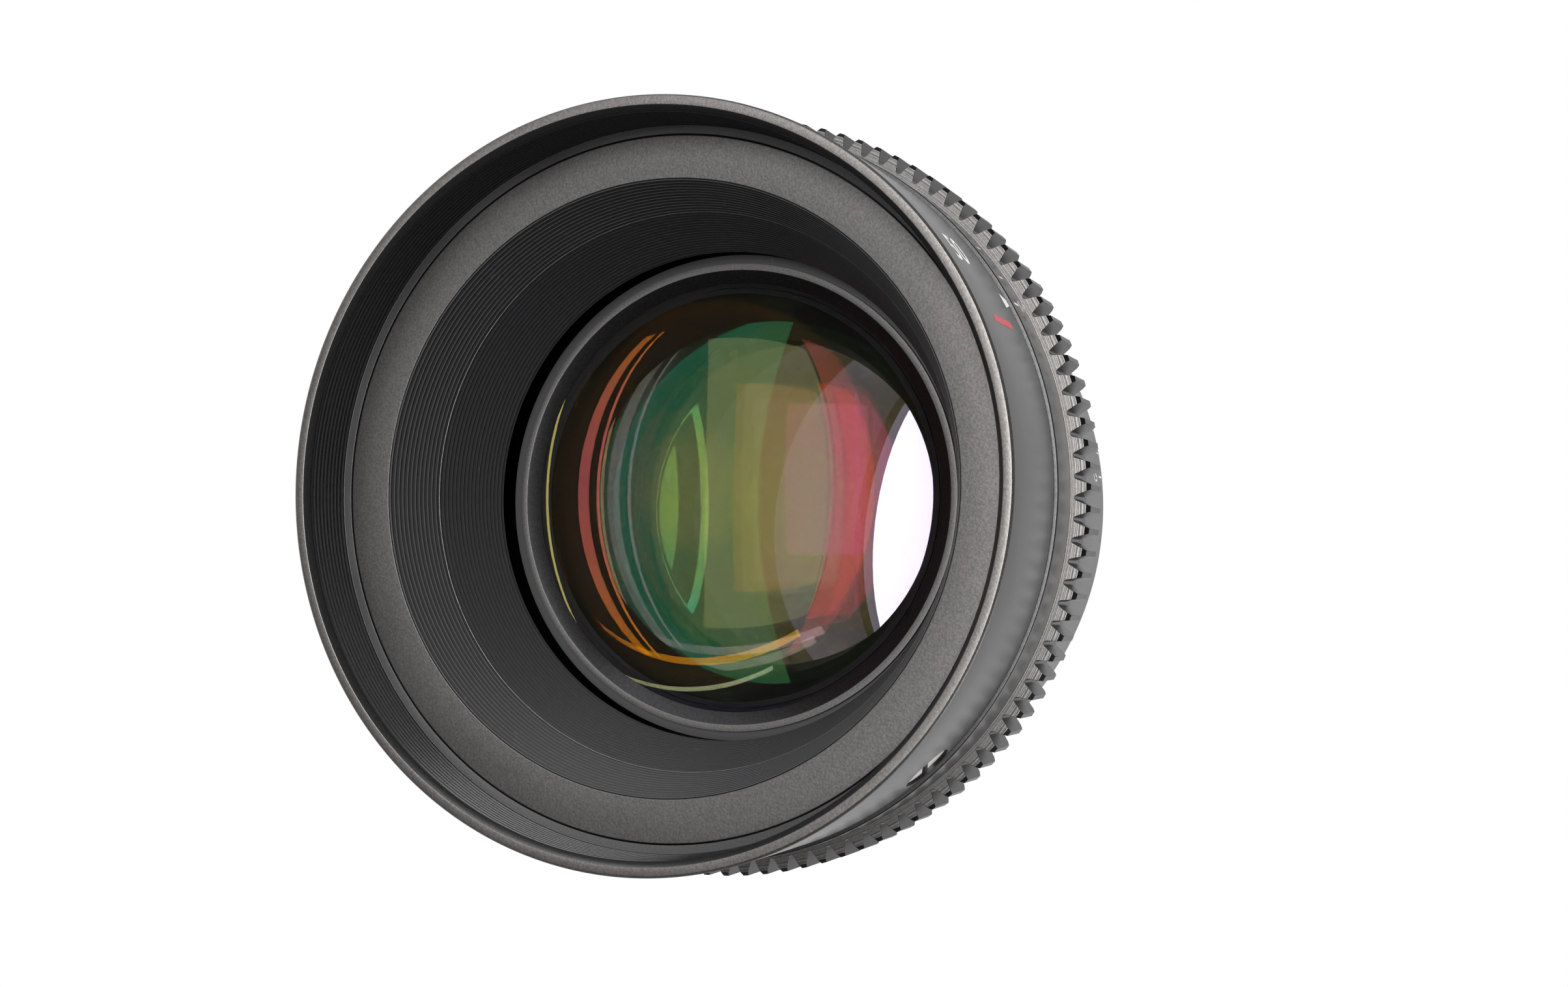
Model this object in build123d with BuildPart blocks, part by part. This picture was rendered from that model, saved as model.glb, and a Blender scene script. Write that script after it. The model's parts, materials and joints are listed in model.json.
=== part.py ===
from build123d import *
from math import asin, atan2, cos, degrees, hypot, pi, radians, sin, sqrt, tan
import os

os.makedirs("parts", exist_ok=True)

# Cinema prime lens. All sizes are in millimetres. The optical axis is Y and the front of the lens
# faces -Y, the origin is where the axis meets the camera seat, and +Z is up.
# Depths are measured back from the front rim. Angles turn round the axis from +X towards +Z.
# The lens is modelled at its closest focus, with the optics fully forward and the iris open.

# General fits
running_clearance = 0.06
seat_gap = 0.03
shoulder_play = 0.1
ring_gap = 0.3

# Overall length and the front shell
front_to_seat = 82.0
front_radius = 43.65
front_barrel_length = 18.65
lip_bevel = 0.26
barrel_edge_break = 0.12
barrel_wall = 2.45

# Filter thread
filter_wall = 1.8
filter_pitch = 0.75
filter_groove = 0.4
filter_depth = 8.0
lead_in_width = 0.6
lead_in_depth = 0.7
ledge_width = 1.0

# Blasted trim ring and the ribbed light baffles
trim_joint = 0.14
trim_recess = 0.07
trim_width = 5.04
trim_thickness = 1.43
web_thickness = 2.1
baffle_seat_step = 1.53
front_baffle_length = 7.83
front_baffle_slope = 0.30
inner_baffle_length = 11.16
inner_baffle_slope = 0.2715
inner_baffle_flange = 1.2
baffle_wall = 1.0
rib_pitch = 0.66
rib_depth = 0.28

# Slotted screws of the front shell
barrel_screw_count = 3
barrel_screw_angle = -47.0
barrel_screw_inset = 3.45
barrel_screw_recess = 3.1
barrel_screw_head = 2.95
barrel_screw_sink = 0.42
barrel_screw_head_height = 0.9
barrel_screw_slot = 0.85
barrel_screw_slot_depth = 0.45
barrel_screw_shank = 1.25

# Guide barrel, the main tube
collar_thickness = 3.17
guide_wall = 2.0
flange_thickness = 2.8
flange_setback = 1.65
iris_land_step = 0.1
guide_tail = 4.0

# Focus ring, its gear and the cam sleeve
seam_gap = 0.2
focus_band_proud = 0.45
focus_band_width = 6.35
focus_band_edge = 0.12
gear_seat_step = 1.5
gear_module = 0.8
gear_pressure_angle = 20.0
gear_rim = 0.5
gear_width = 6.4
gear_chamfer = 0.46
sleeve_wall = 2.51
focus_throw = 200.0
focus_travel = 7.3
follower_count = 3
follower_angle = 90.0
follower_radius = 1.2
follower_stem = 0.8
follower_setback = 3.5
follower_top_gap = 0.4
slot_play = 0.05
slot_end_play = 0.15
sleeve_screw_count = 3
sleeve_screw_angle = 150.0
sleeve_screw_radius = 1.1

# Iris ring and its drive
iris_ring_length = 30.15
iris_ring_wall = 1.9
iris_gear_inset = 0.25
iris_gear_rim = 0.7
iris_throw = 75.0
drive_pin_radius = 1.5
drive_pin_angle = 307.5
drive_pin_inset = 3.2
drive_pin_head = 2.3
drive_pin_head_height = 0.9
drive_pin_sink = 0.1
drive_slot_width = 0.7

# Rear shell and the four-ear mount
rear_barrel_step = 0.66
rear_barrel_land = 2.6
rear_barrel_shoulder = 36.6
rear_barrel_wall = 1.6
rear_screw_count = 3
rear_screw_radius = 1.0
neck_radius = 31.0
neck_bore = 27.2
flange_radius = 31.2
ear_radius = 34.0
ear_count = 4
ear_span = 48.0
mount_thickness = 3.0
register_radius = 26.99
register_bore = 25.0
register_length = 9.0
register_bevel = 0.4
index_notch_width = 3.0
index_notch_depth = 1.6
mount_screw_count = 6
mount_screw_radius = 0.9
mount_screw_head = 1.7
mount_screw_length = 4.6
mount_screw_sink = 0.1
mount_screw_slot = 0.45
shade_depth = 2.6
shade_length = 1.8
shade_rim = 2.3

# Lens carrier
carrier_front = 19.0
carrier_rear = 52.0
carrier_wall = 1.3
carrier_web = 2.4
web_lip = 0.1
web_step = 1.0

# Front group; its curves are given for glasses of the two reference radii
front_reference_radius = 27.6
doublet_reference_radius = 18.5
cell_gap = 4.24
front_cell_front = 30.9
front_cell_wall = 1.13
retainer_front = 30.24
retainer_width = 2.36
retainer_flat = 0.83
retainer_flat_drop = 0.06
retainer_bevel = 1.04
retainer_length = 2.4
glass_overlap = 0.72
glass_gap = 0.04
front_element_reference_curve = 55.0
front_element_back_reference_curve = 600.0
front_element_thickness = 8.5
second_element_inset = 1.8
second_element_air = 0.85
second_element_reference_curve = 42.0
second_element_back_reference_curve = 110.0
second_element_thickness = 7.5
front_spacer_wall = 0.8
doublet_inset = 7.3
doublet_lip = 0.75
doublet_air = 1.48
doublet_reference_curve = 120.0
doublet_cement_reference_curve = 300.0
doublet_back_reference_curve = 36.0
doublet_crown_thickness = 2.4
doublet_flint_thickness = 1.6
doublet_back_share = 0.81
group_ring_length = 1.65
group_ring_wall = 3.6
cell_screw_count = 3
cell_screw_radius = 0.9
cell_screw_head = 1.6
cell_screw_head_height = 0.8

# Iris
blade_count = 9
iris_housing_gap = 3.74
iris_housing_wall = 1.24
housing_back = 1.35
base_plate_thickness = 1.0
aperture_lip = 0.6
blade_thickness = 0.12
blade_pitch = 0.22
blade_turn = 35.0
pivot_inset = 4.6
blade_edge_inset = 2.16
blade_width = 6.7
blade_arc = 118.0
lever_length = 6.5
blade_pin_radius = 0.5
pin_play = 0.05
cam_plate_thickness = 1.0
cam_plate_gap = 0.15
tab_width = 6.0
tab_reach = 0.4
fork_floor = 0.7
fork_depth = 2.0
fork_prong = 1.2
fork_margin = 0.7
fork_angle_gap = 0.3
iris_screw_count = 3
iris_screw_radius = 0.7
iris_screw_length = 1.6

# Rear group
rear_cell_radius = 21.5
rear_cell_flange = 2.0
rear_cell_flange_thickness = 1.35
rear_cell_end_step = 1.6
rear_cell_end_length = 6.0
rear_doublet_radius = 16.5
rear_doublet_aperture = 13.5
rear_doublet_front_curve = 30.0
rear_doublet_cement_curve = 90.0
rear_doublet_back_curve = 38.0
rear_flint_thickness = 1.4
rear_crown_thickness = 6.8
fifth_radius = 17.5
fifth_air = 1.2
fifth_front_curve = 90.0
fifth_back_curve = 42.0
fifth_thickness = 5.2
rear_element_air = 0.6
rear_element_curve = 75.0
rear_element_back_curve = 110.0
rear_element_thickness = 4.6
spacer_wall = 1.7
rear_ring_length = 1.7


def at(depth):
    """Y of a depth behind the front rim."""
    return depth - front_to_seat


def turned(*corners):
    """Half section of a turned piece; each corner is a radius and a depth."""
    Polygon(*[(radius, at(depth)) for radius, depth in corners], align=None)


def facing_front(depth, angle=0.0):
    """Plane across the axis that looks to the front, with its x at an angle round the axis."""
    x_dir = (cos(radians(angle)), 0, sin(radians(angle)))
    return Plane(origin=(0, at(depth), 0), x_dir=x_dir, z_dir=(0, -1, 0))


def facing_out(radius, depth, angle):
    """Plane that touches a cylinder round the axis and looks outwards, with its x to the rear."""
    outward = Vector(cos(radians(angle)), 0, sin(radians(angle)))
    return Plane(origin=outward * radius + Vector(0, at(depth), 0), x_dir=(0, 1, 0), z_dir=outward)


def evenly(count, first):
    """Angles of a ring of equal pieces."""
    return [first + 360 / count * index for index in range(count)]


def sag(curve, radius):
    """Depth of a spherical face at a radius, behind its vertex."""
    return curve - sqrt(curve**2 - radius**2)


def ribbed(radius, depth, slope, length):
    """Corners of a ribbed conical wall that narrows to the rear, with saw-tooth grooves."""
    count = round(length / rib_pitch)
    pitch = length / count
    corners = []
    for rib in range(count):
        start = depth + pitch * rib
        crest = radius - slope * pitch * rib
        corners.append((crest, start))
        corners.append((crest - slope * pitch * 0.3, start + pitch * 0.3))
        corners.append((crest - slope * pitch * 0.5 + rib_depth, start + pitch * 0.5))
    corners.append((radius - slope * length, depth + length))
    return corners


def gear_outline(teeth):
    """Outline of a gear with straight flanks and rounded gullets."""
    pitch_radius = gear_module * teeth / 2
    tip = pitch_radius + gear_module
    root = pitch_radius - 1.25 * gear_module
    slope = tan(radians(gear_pressure_angle))
    half_pitch = pi * gear_module / 4
    tip_half = half_pitch - gear_module * slope
    fillet_rise = 0.28 * gear_module
    flank_half = half_pitch + (1.25 * gear_module - fillet_rise) * slope
    corner_half = half_pitch + 1.25 * gear_module * slope + 0.06 * gear_module
    outline = []
    for tooth in range(teeth):
        middle = 2 * pi * tooth / teeth
        gullet = middle + pi / teeth
        for radius, offset in (
            (root + 0.08 * gear_module, -corner_half),
            (root + fillet_rise, -flank_half),
            (tip, -tip_half),
            (tip, tip_half),
            (root + fillet_rise, flank_half),
            (root + 0.08 * gear_module, corner_half),
        ):
            turn = middle + offset / radius
            outline.append((radius * cos(turn), radius * sin(turn)))
        outline.append((root * cos(gullet), root * sin(gullet)))
    return outline


# Radii of the front shell, from the outside inwards
filter_crest = front_radius - filter_wall
pocket_radius = filter_crest - ledge_width
trim_radius = pocket_radius - trim_joint
trim_bore = trim_radius - trim_width
web_thread_radius = trim_bore + baffle_seat_step
socket_radius = front_radius - barrel_wall

# Depths of the front shell
trim_front = filter_depth + trim_recess
web_front = trim_front + trim_thickness
web_rear = web_front + web_thickness
barrel_screw_depth = front_barrel_length - barrel_screw_inset

with BuildPart() as front_barrel:
    groove_count = int((filter_depth - 1.2 * filter_pitch) / filter_pitch)
    thread_start = filter_depth - filter_pitch * (groove_count + 0.2)
    thread = []
    for groove in range(groove_count):
        start = thread_start + filter_pitch * groove
        thread.append((filter_crest, start + 0.1 * filter_pitch))
        thread.append((filter_crest + filter_groove, start + 0.45 * filter_pitch))
        thread.append((filter_crest + filter_groove, start + 0.55 * filter_pitch))
        thread.append((filter_crest, start + 0.9 * filter_pitch))
    with BuildSketch(Plane.XY):
        turned(
            (filter_crest + lead_in_width, 0),
            (filter_crest, lead_in_depth),
            *thread,
            (filter_crest, filter_depth),
            (pocket_radius, filter_depth),
            (pocket_radius, web_front),
            (web_thread_radius, web_front),
            (web_thread_radius, web_rear),
            (socket_radius, web_rear),
            (socket_radius, front_barrel_length),
            (front_radius - barrel_edge_break, front_barrel_length),
            (front_radius, front_barrel_length - barrel_edge_break),
            (front_radius, lip_bevel),
            (front_radius - lip_bevel, 0),
        )
    revolve(axis=Axis.Y)
    head_seat = front_radius - barrel_screw_sink - barrel_screw_head_height
    for angle in evenly(barrel_screw_count, barrel_screw_angle):
        with BuildSketch(facing_out(head_seat, barrel_screw_depth, angle)):
            Circle(barrel_screw_recess)
        extrude(amount=front_radius - head_seat + 1, mode=Mode.SUBTRACT)
        with BuildSketch(facing_out(head_seat, barrel_screw_depth, angle)):
            Circle(barrel_screw_shank + seat_gap)
        extrude(amount=-barrel_wall, mode=Mode.SUBTRACT)
front_barrel.part.label = "front_barrel"
export_step(front_barrel.part, "parts/front_barrel.step")

with BuildPart() as front_trim_ring:
    with BuildSketch(Plane.XY):
        turned(
            (trim_bore, trim_front + trim_recess),
            (trim_bore + trim_recess, trim_front),
            (trim_radius - trim_recess, trim_front),
            (trim_radius, trim_front + trim_recess),
            (trim_radius, web_front),
            (trim_bore, web_front),
        )
    revolve(axis=Axis.Y)
front_trim_ring.part.label = "front_trim_ring"
export_step(front_trim_ring.part, "parts/front_trim_ring.step")

# Guide barrel radii, which the baffles have to pass
guide_radius = socket_radius - seat_gap - collar_thickness
guide_bore = guide_radius - guide_wall

baffle_mouth = trim_bore - trim_joint
baffle_front = trim_front + trim_recess
front_baffle_rear = baffle_front + front_baffle_length
baffle_waist = baffle_mouth - front_baffle_slope * front_baffle_length
baffle_shell = guide_bore - ring_gap

with BuildPart() as front_light_baffle:
    with BuildSketch(Plane.XY):
        turned(
            *ribbed(baffle_mouth, baffle_front, front_baffle_slope, front_baffle_length),
            (baffle_shell, front_baffle_rear),
            (baffle_shell, web_rear),
            (web_thread_radius, web_rear),
            (web_thread_radius, web_front),
            (baffle_mouth + trim_joint / 2, web_front),
            (baffle_mouth + trim_joint / 2, baffle_front),
        )
    revolve(axis=Axis.Y)
front_light_baffle.part.label = "front_light_baffle"
export_step(front_light_baffle.part, "parts/front_light_baffle.step")

inner_baffle_rear = front_baffle_rear + inner_baffle_length
inner_baffle_end = baffle_waist - inner_baffle_slope * inner_baffle_length

with BuildPart() as inner_light_baffle:
    flange_rear = front_baffle_rear + inner_baffle_flange
    neck = baffle_waist + baffle_wall - inner_baffle_slope * inner_baffle_flange
    with BuildSketch(Plane.XY):
        turned(
            *ribbed(baffle_waist, front_baffle_rear, inner_baffle_slope, inner_baffle_length),
            (inner_baffle_end + baffle_wall, inner_baffle_rear),
            (neck, flange_rear),
            (baffle_shell, flange_rear),
            (baffle_shell, front_baffle_rear),
        )
    revolve(axis=Axis.Y)
inner_light_baffle.part.label = "inner_light_baffle"
export_step(inner_light_baffle.part, "parts/inner_light_baffle.step")

# Stations of the rings along the barrel
collar_rear = front_barrel_length - seam_gap
sleeve_front = collar_rear + shoulder_play
focus_ring_front = front_barrel_length + seam_gap
gear_front = focus_ring_front + focus_band_width
gear_rear = gear_front + gear_width
sleeve_rear = gear_rear + 2.5 * shoulder_play
flange_front = sleeve_rear + shoulder_play
flange_rear_face = flange_front + flange_thickness
iris_ring_front = flange_rear_face + ring_gap
iris_ring_rear = iris_ring_front + iris_ring_length
rear_barrel_front = iris_ring_rear + ring_gap
guide_rear = rear_barrel_front + guide_tail

with BuildPart() as front_collar:
    with BuildSketch(Plane.XY):
        turned(
            (guide_radius, web_rear),
            (socket_radius - seat_gap, web_rear),
            (socket_radius - seat_gap, collar_rear),
            (guide_radius, collar_rear),
        )
    revolve(axis=Axis.Y)
    for angle in evenly(barrel_screw_count, barrel_screw_angle):
        with BuildSketch(facing_out(guide_radius, barrel_screw_depth, angle)):
            Circle(barrel_screw_shank)
        extrude(amount=socket_radius, mode=Mode.SUBTRACT)
front_collar.part.label = "front_collar"
export_step(front_collar.part, "parts/front_collar.step")

with BuildPart() as barrel_screws:
    shank_length = head_seat - guide_radius - seat_gap
    for angle in evenly(barrel_screw_count, barrel_screw_angle):
        with BuildSketch(facing_out(head_seat, barrel_screw_depth, angle)):
            Circle(barrel_screw_head)
        extrude(amount=barrel_screw_head_height)
        with BuildSketch(facing_out(head_seat, barrel_screw_depth, angle)):
            Circle(barrel_screw_shank)
        extrude(amount=-shank_length)
        slot_floor = head_seat + barrel_screw_head_height - barrel_screw_slot_depth
        with BuildSketch(facing_out(slot_floor, barrel_screw_depth, angle)):
            Rectangle(3 * barrel_screw_head, barrel_screw_slot, rotation=angle / 2)
        extrude(amount=barrel_screw_head_height, mode=Mode.SUBTRACT)
barrel_screws.part.label = "barrel_screws"
export_step(barrel_screws.part, "parts/barrel_screws.step")

# Followers that carry the optics: their path in the straight and in the helical slots
follower_depth = carrier_front + follower_setback
follower_end = follower_depth + focus_travel
slot_half = follower_radius + slot_play
sleeve_bore = guide_radius + running_clearance
sleeve_radius = sleeve_bore + sleeve_wall
flange_edge = front_radius - flange_setback
drive_pin_depth = iris_ring_rear - drive_pin_inset
iris_land = guide_radius - iris_land_step
drive_half = drive_pin_radius + slot_play
drive_margin = degrees(asin((drive_half + shoulder_play) / guide_bore))

with BuildPart() as guide_barrel:
    with BuildSketch(Plane.XY):
        turned(
            (guide_bore, web_rear),
            (guide_radius, web_rear),
            (guide_radius, flange_front),
            (flange_edge, flange_front),
            (flange_edge, flange_rear_face),
            (iris_land, flange_rear_face),
            (iris_land, guide_rear),
            (guide_bore, guide_rear),
        )
    revolve(axis=Axis.Y)
    for angle in evenly(follower_count, follower_angle):
        middle = (follower_depth + follower_end) / 2
        with BuildSketch(facing_out(guide_bore - guide_wall, middle, angle)):
            SlotCenterToCenter(focus_travel + 2 * slot_end_play, 2 * slot_half)
        extrude(amount=3 * guide_wall, mode=Mode.SUBTRACT)
    with BuildSketch(Plane.XY.rotated((0, -drive_margin - drive_pin_angle, 0))):
        Polygon(
            (guide_bore - guide_wall, at(drive_pin_depth - drive_half)),
            (guide_radius + guide_wall, at(drive_pin_depth - drive_half)),
            (guide_radius + guide_wall, at(drive_pin_depth + drive_half)),
            (guide_bore - guide_wall, at(drive_pin_depth + drive_half)),
            align=None,
        )
    revolve(axis=Axis.Y, revolution_arc=iris_throw + 2 * drive_margin, mode=Mode.SUBTRACT)
guide_barrel.part.label = "guide_barrel"
export_step(guide_barrel.part, "parts/guide_barrel.step")

with BuildPart() as cam_sleeve:
    with BuildSketch(Plane.XY):
        turned(
            (sleeve_bore, sleeve_front),
            (sleeve_radius, sleeve_front),
            (sleeve_radius, sleeve_rear),
            (sleeve_bore, sleeve_rear),
        )
    revolve(axis=Axis.Y)
    helix = Helix(
        pitch=focus_travel * 360 / focus_throw,
        height=focus_travel,
        radius=(sleeve_bore + sleeve_radius) / 2,
        lefthand=True,
        mode=Mode.PRIVATE,
    )
    for angle in evenly(follower_count, follower_angle):
        outward = (cos(radians(angle)), 0, sin(radians(angle)))
        start_plane = Plane(origin=(0, at(follower_depth), 0), x_dir=outward, z_dir=(0, 1, 0))
        groove = start_plane.location * helix
        with BuildSketch(Plane(origin=groove @ 0, x_dir=outward, z_dir=groove % 0)):
            Rectangle(2 * sleeve_wall, 2 * slot_half)
        sweep(path=groove, is_frenet=True, mode=Mode.SUBTRACT)
        for depth, turn in ((follower_depth, 0), (follower_end, focus_throw)):
            with BuildSketch(facing_out(sleeve_bore - sleeve_wall, depth, angle + turn)):
                Circle(slot_half)
            extrude(amount=3 * sleeve_wall, mode=Mode.SUBTRACT)
    for angle in evenly(sleeve_screw_count, sleeve_screw_angle):
        with BuildSketch(facing_out(sleeve_radius - sleeve_wall / 4, gear_rear - 2, angle)):
            Circle(sleeve_screw_radius)
        extrude(amount=sleeve_wall, mode=Mode.SUBTRACT)
cam_sleeve.part.label = "cam_sleeve"
export_step(cam_sleeve.part, "parts/cam_sleeve.step")

# Focus ring and its gear
focus_band_radius = front_radius + focus_band_proud
focus_gear_seat = focus_band_radius - gear_seat_step
focus_gear_teeth = round(2 * (focus_band_radius + gear_rim) / gear_module + 2.5)

with BuildPart() as focus_ring:
    with BuildSketch(Plane.XY):
        turned(
            (sleeve_radius, focus_ring_front),
            (focus_band_radius - focus_band_edge, focus_ring_front),
            (focus_band_radius, focus_ring_front + focus_band_edge),
            (focus_band_radius, gear_front - focus_band_edge),
            (focus_band_radius - focus_band_edge, gear_front),
            (focus_gear_seat, gear_front),
            (focus_gear_seat, gear_rear),
            (sleeve_radius, gear_rear),
        )
    revolve(axis=Axis.Y)
    for angle in evenly(sleeve_screw_count, sleeve_screw_angle):
        with BuildSketch(facing_out(sleeve_radius - 1, gear_rear - 2, angle)):
            Circle(sleeve_screw_radius)
        extrude(amount=gear_seat_step + focus_gear_seat - sleeve_radius + 1, mode=Mode.SUBTRACT)
focus_ring.part.label = "focus_ring"
export_step(focus_ring.part, "parts/focus_ring.step")

with BuildPart() as sleeve_screws:
    for angle in evenly(sleeve_screw_count, sleeve_screw_angle):
        with BuildSketch(facing_out(sleeve_radius - sleeve_wall / 4, gear_rear - 2, angle)):
            Circle(sleeve_screw_radius)
        extrude(amount=focus_gear_seat - sleeve_radius + sleeve_wall / 4 - shoulder_play)
sleeve_screws.part.label = "sleeve_screws"
export_step(sleeve_screws.part, "parts/sleeve_screws.step")


def gear_section(bore, teeth, front):
    """Section that bevels the ends of a gear's teeth."""
    tip = gear_module * (teeth + 2) / 2
    rear = front + gear_width
    turned(
        (bore, front),
        (tip - gear_chamfer, front),
        (tip, front + gear_chamfer),
        (tip, rear - gear_chamfer),
        (tip - gear_chamfer, rear),
        (bore, rear),
    )


with BuildPart() as focus_gear:
    with BuildSketch(facing_front(gear_front)):
        Polygon(*gear_outline(focus_gear_teeth), align=None)
    extrude(amount=-gear_width)
    with BuildSketch(Plane.XY):
        gear_section(focus_gear_seat, focus_gear_teeth, gear_front)
    revolve(axis=Axis.Y, mode=Mode.INTERSECT)
focus_gear.part.label = "focus_gear"
export_step(focus_gear.part, "parts/focus_gear.step")

# Iris ring and its gear, behind the flange of the guide barrel
iris_ring_bore = iris_land + running_clearance
iris_band_radius = iris_ring_bore + iris_ring_wall
iris_gear_front = iris_ring_front + iris_gear_inset
iris_gear_teeth = round(2 * (iris_band_radius + iris_gear_rim) / gear_module + 2.5)

with BuildPart() as iris_ring:
    with BuildSketch(Plane.XY):
        turned(
            (iris_ring_bore, iris_ring_front),
            (iris_band_radius, iris_ring_front),
            (iris_band_radius, iris_ring_rear - focus_band_edge),
            (iris_band_radius - focus_band_edge, iris_ring_rear),
            (iris_ring_bore, iris_ring_rear),
        )
    revolve(axis=Axis.Y)
    pin_seat = iris_band_radius - drive_pin_sink - drive_pin_head_height
    with BuildSketch(facing_out(pin_seat, drive_pin_depth, drive_pin_angle)):
        Circle(drive_pin_head + seat_gap)
    extrude(amount=iris_ring_wall, mode=Mode.SUBTRACT)
    with BuildSketch(facing_out(pin_seat, drive_pin_depth, drive_pin_angle)):
        Circle(drive_pin_radius)
    extrude(amount=-iris_ring_wall, mode=Mode.SUBTRACT)
iris_ring.part.label = "iris_ring"
export_step(iris_ring.part, "parts/iris_ring.step")

with BuildPart() as iris_gear:
    with BuildSketch(facing_front(iris_gear_front)):
        Polygon(*gear_outline(iris_gear_teeth), align=None)
    extrude(amount=-gear_width)
    with BuildSketch(Plane.XY):
        gear_section(iris_band_radius, iris_gear_teeth, iris_gear_front)
    revolve(axis=Axis.Y, mode=Mode.INTERSECT)
iris_gear.part.label = "iris_gear"
export_step(iris_gear.part, "parts/iris_gear.step")

# Radii of the sliding optics, from the carrier inwards
carrier_radius = guide_bore - running_clearance
carrier_bore = carrier_radius - carrier_wall
front_cell_radius = carrier_bore - cell_gap
cell_thread = front_cell_radius - front_cell_wall
retainer_radius = cell_thread - seat_gap
retainer_bore = retainer_radius - retainer_width
front_glass_radius = retainer_bore + glass_overlap
front_glass_bore = front_glass_radius + glass_gap
second_radius = front_glass_radius - second_element_inset
second_bore = second_radius + glass_gap
doublet_radius = second_radius - doublet_inset
doublet_bore = doublet_radius + glass_gap
doublet_back_aperture = doublet_radius * doublet_back_share
cell_screw_circle = (doublet_bore + front_cell_radius) / 2

# Curves of the front group: they grow with the square of the glass radius, which keeps their rise
front_growth = (front_glass_radius / front_reference_radius) ** 2
doublet_growth = (doublet_radius / doublet_reference_radius) ** 2
front_element_curve = front_element_reference_curve * front_growth
front_element_back_curve = front_element_back_reference_curve * front_growth
second_element_curve = second_element_reference_curve * front_growth
second_element_back_curve = second_element_back_reference_curve * front_growth
doublet_curve = doublet_reference_curve * doublet_growth
doublet_cement_curve = doublet_cement_reference_curve * doublet_growth
doublet_back_curve = doublet_back_reference_curve * doublet_growth

# Lens carrier: a tube in the guide barrel with a web between the front group and the iris
web_bore = doublet_radius + web_step
web_back = carrier_rear - web_lip
web_face = web_back - carrier_web
housing_radius = carrier_bore - iris_housing_gap
housing_bore = housing_radius - iris_housing_wall
screw_circle = housing_bore - pivot_inset / 4

with BuildPart() as lens_carrier:
    with BuildSketch(Plane.XY):
        turned(
            (carrier_bore, carrier_front),
            (carrier_radius, carrier_front),
            (carrier_radius, carrier_rear),
            (carrier_bore, carrier_rear),
            (carrier_bore, web_back),
            (web_bore, web_back),
            (web_bore, web_face),
            (carrier_bore, web_face),
        )
    revolve(axis=Axis.Y)
    for angle in evenly(follower_count, follower_angle):
        with BuildSketch(facing_out(carrier_bore - 1, follower_depth, angle)):
            Circle(follower_stem)
        extrude(amount=carrier_wall + 2, mode=Mode.SUBTRACT)
    with BuildSketch(facing_front(web_back)):
        with PolarLocations(cell_screw_circle, cell_screw_count):
            Circle(cell_screw_head + seat_gap)
    extrude(amount=cell_screw_head_height, mode=Mode.SUBTRACT)
    with BuildSketch(facing_front(web_back)):
        with PolarLocations(cell_screw_circle, cell_screw_count):
            Circle(cell_screw_radius)
        with PolarLocations(screw_circle, iris_screw_count, start_angle=20):
            Circle(iris_screw_radius)
    extrude(amount=carrier_web, mode=Mode.SUBTRACT)
lens_carrier.part.label = "lens_carrier"
export_step(lens_carrier.part, "parts/lens_carrier.step")

follower_top = sleeve_radius - follower_top_gap

with BuildPart() as follower_screws:
    for angle in evenly(follower_count, follower_angle):
        with BuildSketch(facing_out(carrier_bore, follower_depth, angle)):
            Circle(follower_stem)
        extrude(amount=follower_top - carrier_bore)
follower_screws.part.label = "follower_screws"
export_step(follower_screws.part, "parts/follower_screws.step")

with BuildPart() as follower_rollers:
    for angle in evenly(follower_count, follower_angle):
        with BuildSketch(facing_out(carrier_radius + seat_gap, follower_depth, angle)):
            Circle(follower_radius)
            Circle(follower_stem, mode=Mode.SUBTRACT)
        extrude(amount=follower_top - carrier_radius - seat_gap)
follower_rollers.part.label = "follower_rollers"
export_step(follower_rollers.part, "parts/follower_rollers.step")

# Front group, from the retaining ring back
retainer_edge = retainer_front + retainer_flat_drop + retainer_bevel
retainer_rear = retainer_front + retainer_length
front_vertex = retainer_edge + 2 * glass_gap - sag(front_element_curve, retainer_bore)
front_back_vertex = front_vertex + front_element_thickness
front_glass_edge = front_vertex + sag(front_element_curve, front_glass_radius)
front_glass_back_edge = front_back_vertex + sag(front_element_back_curve, front_glass_radius)

with BuildPart() as front_retaining_ring:
    with BuildSketch(Plane.XY):
        turned(
            (retainer_radius, retainer_front),
            (retainer_radius - retainer_flat, retainer_front + retainer_flat_drop),
            (retainer_bore, retainer_edge),
            (retainer_bore, retainer_edge + glass_gap),
            (front_glass_bore, front_glass_edge),
            (front_glass_bore, retainer_rear),
            (retainer_radius, retainer_rear),
        )
    revolve(axis=Axis.Y)
front_retaining_ring.part.label = "front_retaining_ring"
export_step(front_retaining_ring.part, "parts/front_retaining_ring.step")

second_vertex = front_back_vertex + second_element_air
second_back_vertex = second_vertex + second_element_thickness
second_edge = second_vertex + sag(second_element_curve, second_radius)
second_back_edge = second_back_vertex + sag(second_element_back_curve, second_radius)

doublet_vertex = second_back_vertex + doublet_air
doublet_cement_vertex = doublet_vertex + doublet_crown_thickness
doublet_back_vertex = doublet_cement_vertex + doublet_flint_thickness
doublet_back_edge = doublet_back_vertex + sag(doublet_back_curve, doublet_back_aperture)

# The cell's lip stands between the second element and the doublet
second_shoulder = second_back_edge + glass_gap
lip_bore = doublet_radius - doublet_lip
lip_front = second_back_vertex + sag(second_element_back_curve, doublet_bore) + glass_gap
lip_rear = doublet_vertex + sag(doublet_curve, lip_bore) - glass_gap

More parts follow.
